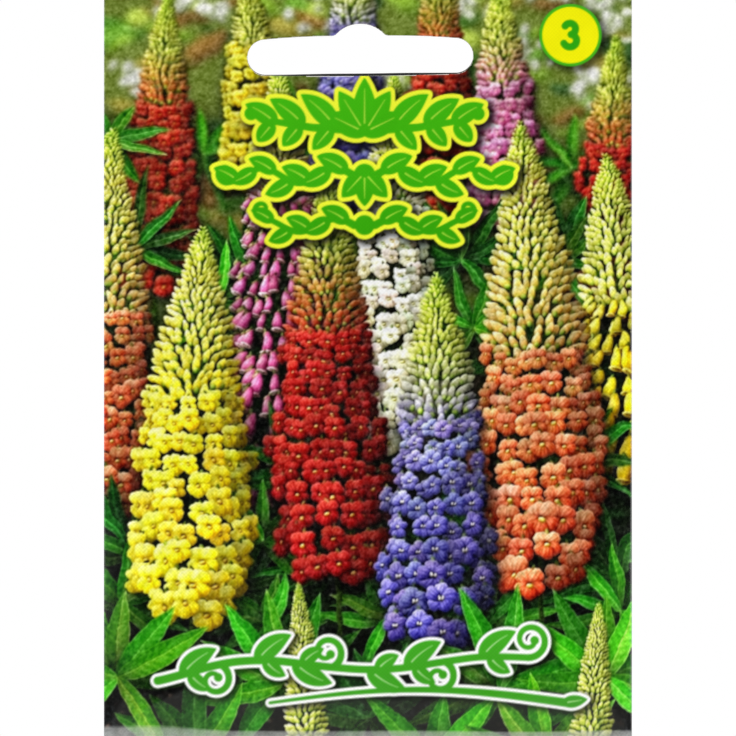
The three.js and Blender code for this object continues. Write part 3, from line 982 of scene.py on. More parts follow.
def print_calendar(art):
    """Twelve numbered months over three rows of bars."""
    left, top, month, row = 12.4, 52.0, 5.2, 5.6
    x0, y0, reach = WIDTH / 2, top - 9, 42
    west, east, north, south = left - x0, left + 12 * month - x0, top - y0, top - 3 * row - y0
    print_shape(art, x0, y0, BAND_GREEN, lambda m: m.bar(west, north, east, top + 5 - y0, 0.6), reach)
    for k in range(12):
        print_number(art, left + (k + 0.5) * month, top + 2.5, WHITE_INK, str(k + 1), 2.1)

    def rules(m):
        for k in range(13):
            m.line([(left + k * month - x0, north), (left + k * month - x0, south)], 0.07)
        for k in range(4):
            m.line([(west, top - k * row - y0), (east, top - k * row - y0)], 0.07)

    print_shape(art, x0, y0, "#9fb08c", rules, reach)
    for k, (first, last, colour, sign) in enumerate(CALENDAR_ROWS):
        y = top - (k + 0.5) * row
        start, end = left + first * month + 0.5 - x0, left + last * month - 0.5 - x0
        print_shape(art, x0, y, colour, lambda m: m.bar(start, -1.3, end, 1.3, 1.2), reach)
        print_shape(art, left - 4.2, y, colour, sign)


def soil_sign(m):
    m.line([(-4.2, -1.4), (4.2, -1.4)], 0.3)


def sowing_sign(m):
    m.dot(0, -2.9, 0.8)
    m.line([(0, 2.6), (0, 0.2)], 0.24)
    m.line([(-0.9, 1.0), (0, 0.0), (0.9, 1.0)], 0.24)


def watering_sign(m):
    for x, y in ((-1.8, 1.6), (0.2, 2.4), (2.0, 1.2)):
        m.dot(x, y - 0.4, 0.6)
        m.line([(x, y), (x, y + 0.9)], 0.4, 0.06)


def flowering_sign(m):
    m.line([(0, -1.4), (0, 3.4)], 0.22)
    for k in range(5):
        m.dot(0, 0.6 + 0.8 * k, 1.0 - 0.17 * k)
    for turn in (0.6, math.pi - 0.6):
        m.leaf(0, -1.0, 2.6, 0.5, turn)


STEP_PLACE, STEP_PITCH = (18, 22.5), 22
STEPS = ((sowing_sign, SOIL_BROWN), (watering_sign, SKY_BLUE), (flowering_sign, "#8b3fa8"))


def print_steps(art):
    """Three numbered steps: a seed in soil, water, and a plant in flower."""
    for k, (sign, colour) in enumerate(STEPS):
        x, y = STEP_PLACE[0] + STEP_PITCH * k, STEP_PLACE[1]
        number_x, number_y = x - 8.0, y + 4.2
        print_shape(art, x, y, PALE_GREEN, lambda m: m.bar(-6.6, -5.2, 6.6, 5.2, 1.6))
        print_shape(art, x, y, "#7a5a3a", soil_sign)
        print_shape(art, x, y, colour, sign)
        print_shape(art, number_x, number_y, BAND_GREEN, lambda m: m.dot(0, 0, 1.7))
        print_number(art, number_x, number_y, WHITE_INK, str(k + 1), 1.7)


BLEED = 2.3  # how far the front's picture runs on round the bottom fold
LAYER_SHADE, LAYER_SHADE_WIDTH = 0.3, 0.22  # the shade beside a layer's cut edge


def print_lip_and_lap(art, picture):
    """The lip folded up over the back, bare but for the picture's bleed, and the cut edges' shadows."""
    x = RIGHT - pixel_middles(0, art.columns)[None, :]
    z = BOTTOM + pixel_middles(0, art.rows)[:, None]
    from_lap = np.broadcast_to(x - LAP_LEFT, (art.rows, art.columns))
    for inside, top in ((from_lap, HEIGHT), (lip_edge(x, z), LIP_HEIGHT + 1)):
        rows = round(top / PIXEL)
        near = np.where(inside < 0, -inside, FAR_OFF)[:rows]
        art.ink[:rows] *= (1 - LAYER_SHADE * np.exp(-near / LAYER_SHADE_WIDTH))[..., None]
        art.lay(inked(np.abs(inside[:rows] - 0.06) - 0.07), hex_rgb(WHITE_INK), slice(rows))
    cover = np.clip(lip_edge(x, z) / PIXEL, 0, 1)
    art.lay(cover, hex_rgb("#f6f5ee"))
    rows = round(BLEED / PIXEL)
    art.lay(cover[:rows], picture.ink[:rows, ::-1], slice(rows))


BACK_GROUND = "#f3f2ea"
SMALL_PICTURE_PLACE = (7.5, 61.0, 25.0)  # its left, its foot and its width


def painted_back(picture):
    """Seen from behind, so its left is the packet's right."""
    art = Print(BACK_GROUND, 9)
    print_header_band(art)
    print_small_picture(art, picture, *SMALL_PICTURE_PLACE)
    print_signs(art)
    print_calendar(art)
    print_steps(art)
    print_lip_and_lap(art, picture)
    return art


# ---------------------------------------------------------------------------
# The folded sheet's shape
# ---------------------------------------------------------------------------


def ease_out(value, power):
    return 1 - (1 - np.clip(value, 0, 1)) ** power


def smooth_step(value, low, high):
    t = np.clip((value - low) / (high - low), 0, 1)
    return t * t * (3 - 2 * t)


def swell(x, z):
    """How full the pouch is at a point of its face, from 0 to 1."""
    from_side = WIDTH / 2 - np.abs(x - MIDDLE)
    full = ease_out(from_side / SIDE_TAPER, 2) * ease_out((z - BOTTOM) / BOTTOM_TAPER, 2.4)
    thinning = smooth_step(z - BOTTOM - HEAP_HEIGHT, 0, HEAP_HEIGHT)
    closing = smooth_step(HEADER_BOTTOM - z, 0, MOUTH_TAPER)
    return full * (1 + (SLACK - 1) * thinning) * closing


def seed_centres():
    names = sorted(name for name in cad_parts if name.startswith("seed_"))
    boxes = [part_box(name) for name in names]
    return names, [(low + high) / 2 / MM for low, high in boxes]


SEED_NAMES, SEED_CENTRES = seed_centres()


def seed_bumps(x, z, height, radius):
    """The seeds showing through the paper."""
    rise = np.zeros_like(x)
    for centre in SEED_CENTRES:
        near = (np.abs(x - centre.x) < 3 * radius) & (np.abs(z - centre.z) < 3 * radius)
        far = (x[near] - centre.x) ** 2 + (z[near] - centre.z) ** 2
        rise[near] += height * np.exp(-far / radius**2)
    return rise


PUCKER_HEIGHT, PUCKER_REACH = 0.05, 5
LONG_PUCKERS, SHORT_PUCKERS = 11.5, 6.1  # from one buckle to the next, along the side fold


def puckers(x, z, phase):
    """Short buckles that run in from the side folds, where the flat tube was blown out to a pouch."""
    inward = np.clip((WIDTH / 2 - np.abs(x - MIDDLE)) / PUCKER_REACH, 0, None)
    side = np.where(x > MIDDLE, 1.7, 0.0) + phase
    ripple = np.sin(z / LONG_PUCKERS * 2 * math.pi + side)
    ripple = ripple + 0.5 * np.sin(z / SHORT_PUCKERS * 2 * math.pi + 2.3 * side)
    reach = smooth_step(z, BOTTOM + 4, BOTTOM + 16) * smooth_step(-z, -HEADER_BOTTOM, -HEADER_BOTTOM + 12)
    return PUCKER_HEIGHT * inward * np.exp(1 - inward) * ripple * reach


# The ridges that fan out of each corner: the way one runs, its height and, at the bottom, its length
BOTTOM_RIDGES = ((0.62, 0.1, 22), (1.05, 0.07, 17), (0.32, 0.06, 16))
HEADER_RIDGES = ((-0.95, 0.06), (-1.25, 0.045))


def ridge(dx, dz, angle, height, rising, falling, width, widening):
    """A soft ridge that leaves a corner at an angle. It rises and falls off over two stretches."""
    along = dx * math.cos(angle) + dz * math.sin(angle)
    off = dz * math.cos(angle) - dx * math.sin(angle)
    fade = smooth_step(along, *rising) * smooth_step(-along, *falling)
    return height * fade * hill(off, 0, width + widening * np.clip(along, 0, None))


def corner_creases(x, z, phase):
    """Soft ridges that fan out of the bottom corners and down from the header's ends."""
    rise = np.zeros_like(x)
    for side, edge in ((-1, LEFT), (1, RIGHT)):
        dx = -side * (x - edge)
        for k, (turn, height, long) in enumerate(BOTTOM_RIDGES):
            angle = turn + 0.08 * math.sin(3 * k + side + phase)
            rise += ridge(dx, z - BOTTOM, angle, height, (1.5, 7), (-long, -long * 0.45), 0.5, 0.05)
        for angle, height in HEADER_RIDGES:
            rise += ridge(dx, z - HEADER_BOTTOM, angle, height, (2, 9), (-34, -14), 1.1, 0)
    return rise


WAVE_HEIGHT = 0.05


def slack_waves(x, z, phase):
    """Slow waves where the paper has nothing behind it."""
    wave = np.sin(x / 19 + 0.7 * np.sin(z / 17) + phase) * np.sin(z / 23 + 1.3 * phase)
    fine = 0.4 * np.sin(x / 7.3 - z / 9.1 + 2 * phase) * np.sin(z / 12.7 + x / 31)
    return WAVE_HEIGHT * (wave + fine) * smooth_step(swell(x, z), 0.02, 0.2)


def fold_round(x, z):
    """Closes the two faces on each other round the side folds and the bottom fold."""
    deep = np.minimum(np.minimum(x - LEFT, RIGHT - x), z - BOTTOM)
    t = np.clip(deep / FOLD_RADIUS, 0, 1)
    return np.sqrt(np.clip(1 - (1 - t) ** 2, 0, 1))


def lap_layers(x):
    """1 over the back lap: a sharp edge where the outer layer ends, a soft one where the inner does."""
    return smooth_step(LAP_RIGHT - x, -0.45, 0.45) * smooth_step(x - LAP_LEFT, -0.1, 0.1)


def lip_edge(x, z):
    """How far a point of the back lies inside the lip, in mm."""
    top = LIP_HEIGHT + 0.12 * np.sin(x / 9.0) - (z - BOTTOM)
    lean = LIP_TAPER * np.clip(z - BOTTOM, 0, None) / LIP_HEIGHT
    return np.minimum(top, WIDTH / 2 - lean - np.abs(x - MIDDLE))


def bottom_roll(x):
    """How far up the front the rounded bottom fold reaches, in mm. It isn't quite even."""
    lifted = 0.85 * smooth_step(LEFT - x, -20, -6) + 0.15 * smooth_step(x - RIGHT, -16, -2)
    return 0.86 + lifted + 0.05 * np.sin(x / 5.1) + 0.07 * np.sin(x / 17 + 2)


# Each face's seed bumps, their height and radius, and where its puckers, creases and waves start
FRONT_RELIEF = (0.085, 1.7, 0.0, 0.0, 0.4)
BACK_RELIEF = (0.06, 1.9, 2.1, 1.7, 2.2)
ROLL_DEPTH = 0.22  # how far the front falls back at the bottom fold
HEADER_BEND = 0.03


def relief(x, z, bump, bump_radius, pucker_phase, crease_phase, wave_phase):
    rise = seed_bumps(x, z, bump, bump_radius) + puckers(x, z, pucker_phase)
    return rise + corner_creases(x, z, crease_phase) + slack_waves(x, z, wave_phase)


def header_bend(x, z):
    return HEADER_BEND * np.sin(x / 14 + 0.6) * smooth_step(z, HEADER_BOTTOM, TOP)


def front_y(x, z):
    roll = ROLL_DEPTH * np.clip(1 - (z - BOTTOM) / bottom_roll(x), 0, 1) ** 2
    depth = PAPER + BULGE / 2 * swell(x, z) + relief(x, z, *FRONT_RELIEF) - roll
    return -depth * fold_round(x, z) + header_bend(x, z)


def back_y(x, z):
    layers = PAPER * (lap_layers(x) + smooth_step(lip_edge(x, z), -0.1, 0.1))
    depth = PAPER + BULGE / 2 * swell(x, z) + relief(x, z, *BACK_RELIEF) + layers
    return depth * fold_round(x, z) + header_bend(x, z)


def slot_distance(x, z):
    """How far a point lies outside the hang slot, in mm, and negative in it."""
    c, s = math.cos(SLOT_TILT), math.sin(SLOT_TILT)
    x, z = x * c + z * s, z * c - x * s
    x = np.abs(x)
    end = (SLOT_WIDTH - SLOT_HEIGHT + TOP_BOW + LOW_BOW) / 2
    top = -HUMP_RISE - TOP_BOW * np.clip((x - HUMP_HALF_BASE) / (end - HUMP_HALF_BASE), 0, 1) ** 2
    low = -HUMP_RISE - SLOT_HEIGHT + LOW_BOW * np.clip(x / end, 0, 1) ** 2
    far = np.hypot(np.maximum(x - end, 0), z - (top + low) / 2) - (top - low) / 2
    both = (HUMP_HALF_BASE**2 + HUMP_RISE**2) / (2 * HUMP_RISE)
    fillet = both - HUMP_TOP_RADIUS
    meets = HUMP_TOP_RADIUS * HUMP_HALF_BASE / both
    round_top = np.hypot(x, z + HUMP_TOP_RADIUS) - HUMP_TOP_RADIUS
    hollow = fillet - np.hypot(x - HUMP_HALF_BASE, z + HUMP_RISE - fillet)
    beside = (x < HUMP_HALF_BASE) & (z < fillet - HUMP_RISE)
    hump = np.where(x < meets, round_top, np.where(beside, hollow, FAR_OFF))
    return np.minimum(far, np.where(z > -HUMP_RISE - 1, hump, FAR_OFF))


LAYER_SLIDE = 0.42  # how far the back has slid up behind the front in the middle of the slot


def layer_slide(x, z):
    """How far the back has slid up at a point: most round the slot's middle, and least at its ends."""
    along = 0.3 + 0.7 * smooth_step(-np.abs(x - 1.5), -SLOT_WIDTH / 2 - 1, -4.0)
    return LAYER_SLIDE * along * smooth_step(-slot_distance(x, z), -3, 0)


def grid_lines(low, high, folded_high):
    """Lines a cell apart, with closer ones round the folds."""
    count = round((high - low) / CELL)
    lines = np.linspace(low, high, count + 1)
    close = FOLD_RADIUS * (1 - np.cos(np.linspace(0, UP, 6)))[1:-1]
    extra = [low + close]
    if folded_high:
        extra.append(high - close)
    lines = lines[(lines <= low) | (lines >= low + FOLD_RADIUS)]
    if folded_high:
        lines = lines[(lines >= high) | (lines <= high - FOLD_RADIUS)]
    return np.unique(np.concatenate([lines, *extra]))


PAPER_WHITE = 0.88  # how much light the bare coated paper gives back
CORE = "#eeebe0"  # the paper where it is cut
# painted shade: the crack between the two layers is coloured near black for the shade that falls in it
CRACK_PAINTED_SHADE = "#17191a"  # the crack between two layers, in its own shade
NOTCH = 0.04  # how far the crack lies inside the layers' cut edges
CRACK = 0.08  # its share of the depth

# Where each part of the sheet lies on its map: left, low, right, high
FRONT_PLACE = (0.004, 0.004, 0.58, 0.84)
BACK_PLACE = (0.59, 0.004, 0.996, 0.592)
LINING_PLACES = ((0.59, 0.61, 0.78, 0.84), (0.79, 0.61, 0.98, 0.84))
EDGE_PLACE = (0.004, 0.86, 0.996, 0.996)
EDGE_COLUMNS, EDGE_ROWS = 110, 26


def away_from_slot(x, z):
    """The way out of the slot at each point."""
    step = 0.005
    across = (slot_distance(x + step, z) - slot_distance(x - step, z)) / (2 * step)
    up = (slot_distance(x, z + step) - slot_distance(x, z - step)) / (2 * step)
    size = np.maximum(np.hypot(across, up), 0.5)
    return across / size, up / size


def punch_slot(x, z, rows, columns):
    """Which cells the slot leaves. Corners of theirs that lie in it move out to its edge."""
    inside = slot_distance(x, z) < 0
    grid = inside.reshape(rows, columns)
    gone = grid[:-1, :-1] & grid[1:, :-1] & grid[:-1, 1:] & grid[1:, 1:]
    rim = inside & (slot_distance(x, z) > -2 * CELL)
    for _ in range(2):
        across, up = away_from_slot(x[rim], z[rim])
        far = slot_distance(x[rim], z[rim])
        x[rim] -= far * across
        z[rim] -= far * up
    return ~gone


def cell_corners(rows, columns, kept):
    """The corners of each kept cell, anticlockwise as seen from the front."""
    index = np.arange(rows * columns).reshape(rows, columns)
    corners = np.stack([index[:-1, :-1], index[:-1, 1:], index[1:, 1:], index[1:, :-1]], -1)
    return corners[kept]


def open_edges(rows, columns, kept):
    """The kept cells' outer edges as pairs of corners, each with its cell on its left."""
    index = np.arange(rows * columns).reshape(rows, columns)
    wide = np.pad(kept, 1)
    above, below = wide[1:, 1:-1], wide[:-1, 1:-1]
    right, left = wide[1:-1, 1:], wide[1:-1, :-1]
    west, east = index[:, :-1], index[:, 1:]
    south, north = index[:-1], index[1:]
    found = [
        np.stack([west[above & ~below], east[above & ~below]], 1),
        np.stack([east[below & ~above], west[below & ~above]], 1),
        np.stack([south[left & ~right], north[left & ~right]], 1),
        np.stack([north[right & ~left], south[right & ~left]], 1),
    ]
    return np.concatenate(found)


def placed(points, place, flipped=False):
    """Where points of a face lie on the sheet's map."""
    left, low, right, high = place
    u = (points[..., 0] - LEFT) / WIDTH
    v = (points[..., 2] - BOTTOM) / HEIGHT
    if flipped:
        u = 1 - u
    return np.stack([left + (right - left) * u, low + (high - low) * v], -1)


def edge_places(count):
    """A small square of the map for each face of the cut edges."""
    left, low, right, high = EDGE_PLACE
    wide, tall = (right - left) / EDGE_COLUMNS, (high - low) / EDGE_ROWS
    k = np.arange(count)[:, None]
    near, far = 0.2, 0.8  # a face leaves a margin in its square
    u = left + (k % EDGE_COLUMNS + np.array([near, far, far, near])) * wide
    v = low + (k // EDGE_COLUMNS % EDGE_ROWS + np.array([near, near, far, far])) * tall
    return np.stack([u, v], -1)


def in_scene(name, data):
    made = bpy.data.objects.new(name, data)
    bpy.context.scene.collection.objects.link(made)
    return made


class Skin:
    """Points and faces as they gather, and what each carries."""

    def __init__(self):
        self.points, self.inks, self.coats, self.faces, self.places, self.flats = ([] for _ in range(6))
        self.count = 0

    def add_points(self, points, ink, coat):
        """Adds points in mm and returns their numbers."""
        first = self.count
        self.count += len(points)
        self.points.append(points)
        self.inks.append(np.broadcast_to(PAPER_WHITE * to_linear(ink), points.shape))
        self.coats.append(np.broadcast_to(coat, len(points)))
        return np.arange(first, self.count)

    def add_faces(self, faces, places, flat=False):
        self.faces.append(faces)
        self.places.append(places)
        self.flats.append(np.full(len(faces), flat))

    def made(self, name):
        """The mesh object. A face with a corner that comes twice in a row loses one of the two."""
        faces, places = np.concatenate(self.faces), np.concatenate(self.places)
        used = np.unique(faces)
        number = np.zeros(self.count, int)
        number[used] = np.arange(len(used))
        kept = faces != np.roll(faces, 1, axis=1)
        sizes = kept.sum(1)
        mesh = bpy.data.meshes.new(name)
        mesh.vertices.add(len(used))
        mesh.vertices.foreach_set("co", (np.concatenate(self.points)[used] * MM).ravel())
        mesh.loops.add(int(kept.sum()))
        mesh.loops.foreach_set("vertex_index", number[faces[kept]])
        mesh.polygons.add(len(faces))
        mesh.polygons.foreach_set("loop_start", np.cumsum(sizes) - sizes)
        mesh.polygons.foreach_set("use_smooth", ~np.concatenate(self.flats))
        mesh.update(calc_edges=True)
        ink = mesh.attributes.new("ink", "FLOAT_COLOR", "POINT")
        opaque = np.ones((len(used), 4))
        opaque[:, :3] = np.concatenate(self.inks)[used]
        ink.data.foreach_set("color", opaque.ravel())
        coat = mesh.attributes.new("coated", "FLOAT", "POINT")
        coat.data.foreach_set("value", np.concatenate(self.coats)[used])
        spread = mesh.uv_layers.new(name="OFBake")
        spread.data.foreach_set("uv", places[kept].ravel())
        mesh.validate()
        return in_scene(name, mesh)


# Pale over the bottom fold: rubbed ink, and a painted sheen where the rounded fold catches the light
RUBBED_AND_SHEEN = "#dde0df"


def rub_and_paint_sheen(ink, x, z):
    """The front's ink over the bottom fold, made pale: partly rubbed ink, partly a painted sheen for the
    highlight that the rounded fold catches.
    """
    speck = np.random.default_rng(3).uniform(0, 1, x.size)
    up = (z - BOTTOM) / bottom_roll(x)
    streak = 0.5 + 0.5 * np.sin(x * 1.9 + 1.3 * np.sin(x * 0.7))
    share = (0.52 + 0.07 * streak + 0.08 * speck) * smooth_step(-up, -1.2, -0.7)
    share = (share * (1 + 0.15 * smooth_step(-up, -0.7, -0.2)))[:, None]
    return ink + share * (hex_rgb(RUBBED_AND_SHEEN) - ink), 1 - 0.5 * share[:, 0]


def add_faces_and_edges(skin, front, back):
    """The two printed faces, folded into one at the sides and the bottom, and the cut edges."""
    xs, zs = grid_lines(LEFT, RIGHT, True), grid_lines(BOTTOM, TOP, False)
    rows, columns = len(zs), len(xs)
    x, z = (side.ravel() for side in np.meshgrid(xs, zs))
    kept = punch_slot(x, z, rows, columns)
    folded = (x <= LEFT) | (x >= RIGHT) | (z <= BOTTOM)
    edges = open_edges(rows, columns, kept)
    edges = edges[~folded[edges].all(1)]
    rim = np.zeros(x.size, bool)
    rim[edges] = True

    front_points = np.stack([x, front_y(x, z), z], 1)
    back_points = np.stack([x, back_y(x, z), z + layer_slide(x, z)], 1)
    core = hex_rgb(CORE)
    front_ink, back_ink = front.at(x - LEFT, z - BOTTOM), back.at(RIGHT - x, z - BOTTOM)
    # the pale band over the bottom fold is partly rubbed ink and partly painted sheen
    front_ink, front_coat = rub_and_paint_sheen(front_ink, x, z)
    front_ink[rim], back_ink[rim] = core, core
    before = skin.add_points(front_points, front_ink, front_coat * ~rim)
    behind = skin.add_points(back_points, back_ink, 1.0 - rim)
    behind = np.where(folded, before, behind)

    across, up = away_from_slot(x, z)
    near_slot = slot_distance(x, z) < 1
    inward = np.stack([np.where(near_slot, across, 0), np.zeros(x.size), np.where(near_slot, up, -1)], 1)
    rings = [before]
    # the crack rings carry painted shade
    for points, side in ((front_points, -1), (back_points, 1)):
        crack = points + NOTCH * inward
        crack[:, 1] = (front_points[:, 1] + back_points[:, 1] + side * CRACK * PAPER) / 2
        rings.append(np.where(folded, before, skin.add_points(crack, hex_rgb(CRACK_PAINTED_SHADE), 0.0)))
    rings.append(behind)

    corners = cell_corners(rows, columns, kept)
    skin.add_faces(before[corners], placed(front_points[corners], FRONT_PLACE))
    corners = corners[:, ::-1]
    skin.add_faces(behind[corners], placed(back_points[corners], BACK_PLACE, flipped=True))
    p, q = edges.T
    walls = []
    for ahead, after in zip(rings, rings[1:]):
        walls.append(np.stack([ahead[q], ahead[p], after[p], after[q]], 1))
    walls = np.concatenate(walls)
    skin.add_faces(walls, edge_places(len(walls)), flat=True)


def add_lining(skin):
    """The inside of the pouch: bare paper that closes where the faces meet."""
    inset, step = 0.45, 1.0
    xs = np.linspace(LEFT + inset, RIGHT - inset, round(WIDTH / step))
    zs = np.linspace(BOTTOM + inset, HEADER_BOTTOM, round((HEADER_BOTTOM - BOTTOM) / step))
    rows, columns = len(zs), len(xs)
    x, z = (side.ravel() for side in np.meshgrid(xs, zs))
    half = np.maximum(BULGE / 2 * swell(x, z), 0.02)
    rim = (x <= xs[0]) | (x >= xs[-1]) | (z <= zs[0]) | (z >= zs[-1])
    half[rim] = 0
    corners = cell_corners(rows, columns, np.ones((rows - 1, columns - 1), bool))
    first = None
    for side, place in zip((-1, 1), LINING_PLACES):
        points = np.stack([x, side * half, z], 1)
        numbers = skin.add_points(points, hex_rgb(CORE), 0.0)
        if first is None:
            first = numbers
        numbers = np.where(rim, first, numbers)
        ordered = corners[:, ::-1] if side < 0 else corners
        skin.add_faces(numbers[ordered], placed(points[ordered], place))


def make_sheet():
    front = painted_picture()
    back = painted_back(front)
    overprint(front)
    skin = Skin()
    add_faces_and_edges(skin, front, back)
    add_lining(skin)
    return skin.made("printed_sheet")


# ---------------------------------------------------------------------------
# The seeds
# ---------------------------------------------------------------------------


def ring_faces(around, rings, last=None):
    """Faces over rings of points that lie round point 0, closed on a last point if there is one."""
    faces = []
    for k in range(around):
        n = (k + 1) % around
        faces.append((0, 1 + k, 1 + n))
        for r in range(rings - 1):
            a, b = 1 + r * around, 1 + (r + 1) * around
            faces.append((a + k, b + k, b + n, a + n))
        if last is not None:
            faces.append((b + k, last, b + n))
    return faces


SEED_AROUND, SEED_RINGS = 28, 17
SCAR_DEPTH, SCAR_LENGTH, SCAR_WIDTH = 0.16, 0.3, 0.12  # as shares of the seed
KIDNEY_BEND = 0.1


def make_seed(node):
    """A bean-shaped seed with a dimple at its scar, as long and thick as the solid it stands for."""
    low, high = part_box(node)
    centre, half = (low + high) / 2, (high - low) / 2
    points = [centre - Vector((half.x, 0, 0))]
    for i in range(1, SEED_RINGS + 1):
        t = i / (SEED_RINGS + 1) * math.pi
        girth, kidney = math.sin(t) ** 0.9, KIDNEY_BEND * math.cos(t) ** 2 * half.z
        for k in range(SEED_AROUND):
            around = k / SEED_AROUND * 2 * math.pi
            c, s = math.cos(around), math.sin(around)
            from_scar = ((t / UP - 1) / SCAR_LENGTH) ** 2 + ((c * 0.9) ** 2 + (s - 1) ** 2) / SCAR_WIDTH
            thick = 0.93 * half.z * (1 - SCAR_DEPTH * math.exp(-from_scar))
            out = (-half.x * math.cos(t), half.y * girth * c, thick * girth * s + kidney)
            points.append(centre + Vector(out))
    points.append(centre + Vector((half.x, 0, 0)))
    mesh = bpy.data.meshes.new(node.replace("seed", "bean"))
    mesh.from_pydata(points, [], ring_faces(SEED_AROUND, SEED_RINGS, len(points) - 1))
    mesh.polygons.foreach_set("use_smooth", [True] * len(mesh.polygons))
    mesh.update()
    return in_scene(mesh.name, mesh)


# ---------------------------------------------------------------------------
# Materials
# ---------------------------------------------------------------------------


def node(tree, kind, inputs=None, give=None, **settings):
    """Adds a node with its settings, and sets or links its inputs. Gives the output named, or the node."""
    made = tree.nodes.new("ShaderNode" + kind)
    for name, value in settings.items():
        setattr(made, name, value)
    for key, value in (inputs or {}).items():
        if isinstance(value, bpy.types.NodeSocket):
            tree.links.new(value, made.inputs[key])
        else:
            made.inputs[key].default_value = value
    return made.outputs[give] if give else made


def new_material(name):
    material = bpy.data.materials.new(name)
    material.use_nodes = True
    tree = material.node_tree
    tree.nodes.clear()
    return material, tree, node(tree, "TexCoord", give="Object")


def per_mm(size):
    """A texture's scale for a pattern that repeats every size mm, in a scene in metres."""
    return 1 / (size * MM)


# The coated paper, in mm. Its screen is nearly three times as coarse as a real one, so that it shows
SCREEN_PITCH, SCREEN_TURN = 0.4, (0, math.radians(45), 0)
MOTTLE_SIZE, FIBRE_SIZE, WEAR_SIZE = 7, 0.6, 14
TOOTH_HEIGHT = 0.02
# The dry seed coat, in mm
MARBLING_SIZE, PORE_SIZE, PORE_DEPTH = 1.1, 0.25, 0.02
MARBLING = ((0.38, "#3d2c1e"), (0.48, "#7a6248"), (0.58, "#c4ad86"))
# The painted board, in mm
ROLLER_SIZE = 9


def gloss_coated_paper():
    """Gloss-coated art paper, offset printed in four colours. The clay coat and the ink film are
    smooth and shine softly, with the paper's fibres showing through as a faint tooth. The colours
    are built of fine screen dots over a slightly uneven ink film. Where the paper is cut, its matt
    white core shows; over the bottom fold the coat is matt and the ink pale, partly rubbed and partly a
    painted sheen."""
    material, tree, place = new_material("gloss_coated_paper")
    ink = node(tree, "Attribute", give="Color", attribute_name="ink")
    coated = node(tree, "Attribute", give="Fac", attribute_name="coated")

    turned = node(tree, "Mapping", {"Vector": place, "Rotation": SCREEN_TURN}, "Vector")
    grid = {"Vector": turned, "Scale": per_mm(SCREEN_PITCH), "Randomness": 0.0}
    screen = node(tree, "TexVoronoi", grid, "Distance", feature="F1")
    dotted = {"Value": screen, "From Min": 0.15, "From Max": 0.7, "To Min": 1.06, "To Max": 0.95}
    dots = node(tree, "MapRange", dotted, "Result")
    mottle = node(tree, "TexNoise", {"Vector": place, "Scale": per_mm(MOTTLE_SIZE), "Detail": 4.0}, "Fac")
    uneven = {"Value": mottle, "From Min": 0.3, "From Max": 0.7, "To Min": 0.965, "To Max": 1.03}
    density = node(tree, "MapRange", uneven, "Result")
    tone = node(tree, "Math", {0: dots, 1: density}, "Value", operation="MULTIPLY")
    colour = node(tree, "VectorMath", {0: ink, "Scale": tone}, "Vector", operation="SCALE")

    fibres = node(tree, "TexNoise", {"Vector": place, "Scale": per_mm(FIBRE_SIZE), "Detail": 5.0}, "Fac")
    wear = node(tree, "TexNoise", {"Vector": place, "Scale": per_mm(WEAR_SIZE), "Detail": 6.0}, "Fac")
    handled = {"Value": wear, "From Min": 0.35, "From Max": 0.7, "To Min": 0.2, "To Max": 0.27}
    gloss = node(tree, "MapRange", handled, "Result")
    matt_core = {"Value": coated, "From Min": 0.0, "From Max": 1.0, "To Min": 0.85, "To Max": gloss}
    roughness = node(tree, "MapRange", matt_core, "Result")
    fine = {"Height": fibres, "Strength": 0.12, "Distance": TOOTH_HEIGHT * MM}
    tooth = node(tree, "Bump", fine, "Normal")
    surface = {"Base Color": colour, "Roughness": roughness, "Normal": tooth, "IOR": 1.48}
    node(tree, "OutputMaterial", {"Surface": node(tree, "BsdfPrincipled", surface, "BSDF")})
    return material


def dry_seed_coat():
    """The smooth, dry coat of a pulse seed: pale buff with darker marbling and a dull, waxy shine."""
    material, tree, place = new_material("dry_seed_coat")
    marbled = {"Vector": place, "Scale": per_mm(MARBLING_SIZE), "Detail": 6.0}
    marbled.update({"Roughness": 0.6, "Distortion": 0.7})
    ramp = node(tree, "ValToRGB", {"Fac": node(tree, "TexNoise", marbled, "Fac")})
    while len(ramp.color_ramp.elements) < len(MARBLING):
        ramp.color_ramp.elements.new(0.5)
    for element, (position, code) in zip(ramp.color_ramp.elements, MARBLING):
        element.position = position
        element.color = linear_hex(code)
    pores = node(tree, "TexNoise", {"Vector": place, "Scale": per_mm(PORE_SIZE), "Detail": 3.0}, "Fac")
    pitted = {"Height": pores, "Strength": 0.25, "Distance": PORE_DEPTH * MM}
    skin = node(tree, "Bump", pitted, "Normal")
    surface = {"Base Color": ramp.outputs["Color"], "Roughness": 0.42, "Normal": skin}
    node(tree, "OutputMaterial", {"Surface": node(tree, "BsdfPrincipled", surface, "BSDF")})
    return material


def painted_board(centre, radius):
    """Matt, pale painted board with the roller's faint texture. It fades out towards its edge."""
    material, tree, place = new_material("painted_board")
    grain = node(tree, "TexNoise", {"Vector": place, "Scale": per_mm(ROLLER_SIZE), "Detail": 3.0}, "Fac")
    greys = {0: grain, 6: linear_hex("#b9b8b4"), 7: linear_hex("#c0bfbb")}
    tint = node(tree, "Mix", greys, data_type="RGBA").outputs[2]
    from_centre = node(tree, "VectorMath", {0: place, 1: centre}, "Value", operation="DISTANCE")
    fading = {"Value": from_centre, "From Min": 0.55 * radius, "From Max": radius}
    fading.update({"To Min": 1.0, "To Max": 0.0})
    fade = node(tree, "MapRange", fading, "Result", interpolation_type="SMOOTHSTEP")
    board = node(tree, "BsdfPrincipled", {"Base Color": tint, "Roughness": 0.9}, "BSDF")
    clear = node(tree, "BsdfTransparent", give="BSDF")
    shader = node(tree, "MixShader", {0: fade, 1: clear, 2: board}, "Shader")
    node(tree, "OutputMaterial", {"Surface": shader})
    return material


# ---------------------------------------------------------------------------
# Studio
# ---------------------------------------------------------------------------

PHOTO_SIZE = 736
PACKET_LEFT_PX, PACKET_RIGHT_PX = 104.0, 631.8
PACKET_BOTTOM_PX = 736.5
LENS, SENSOR = 250.0, 36.0

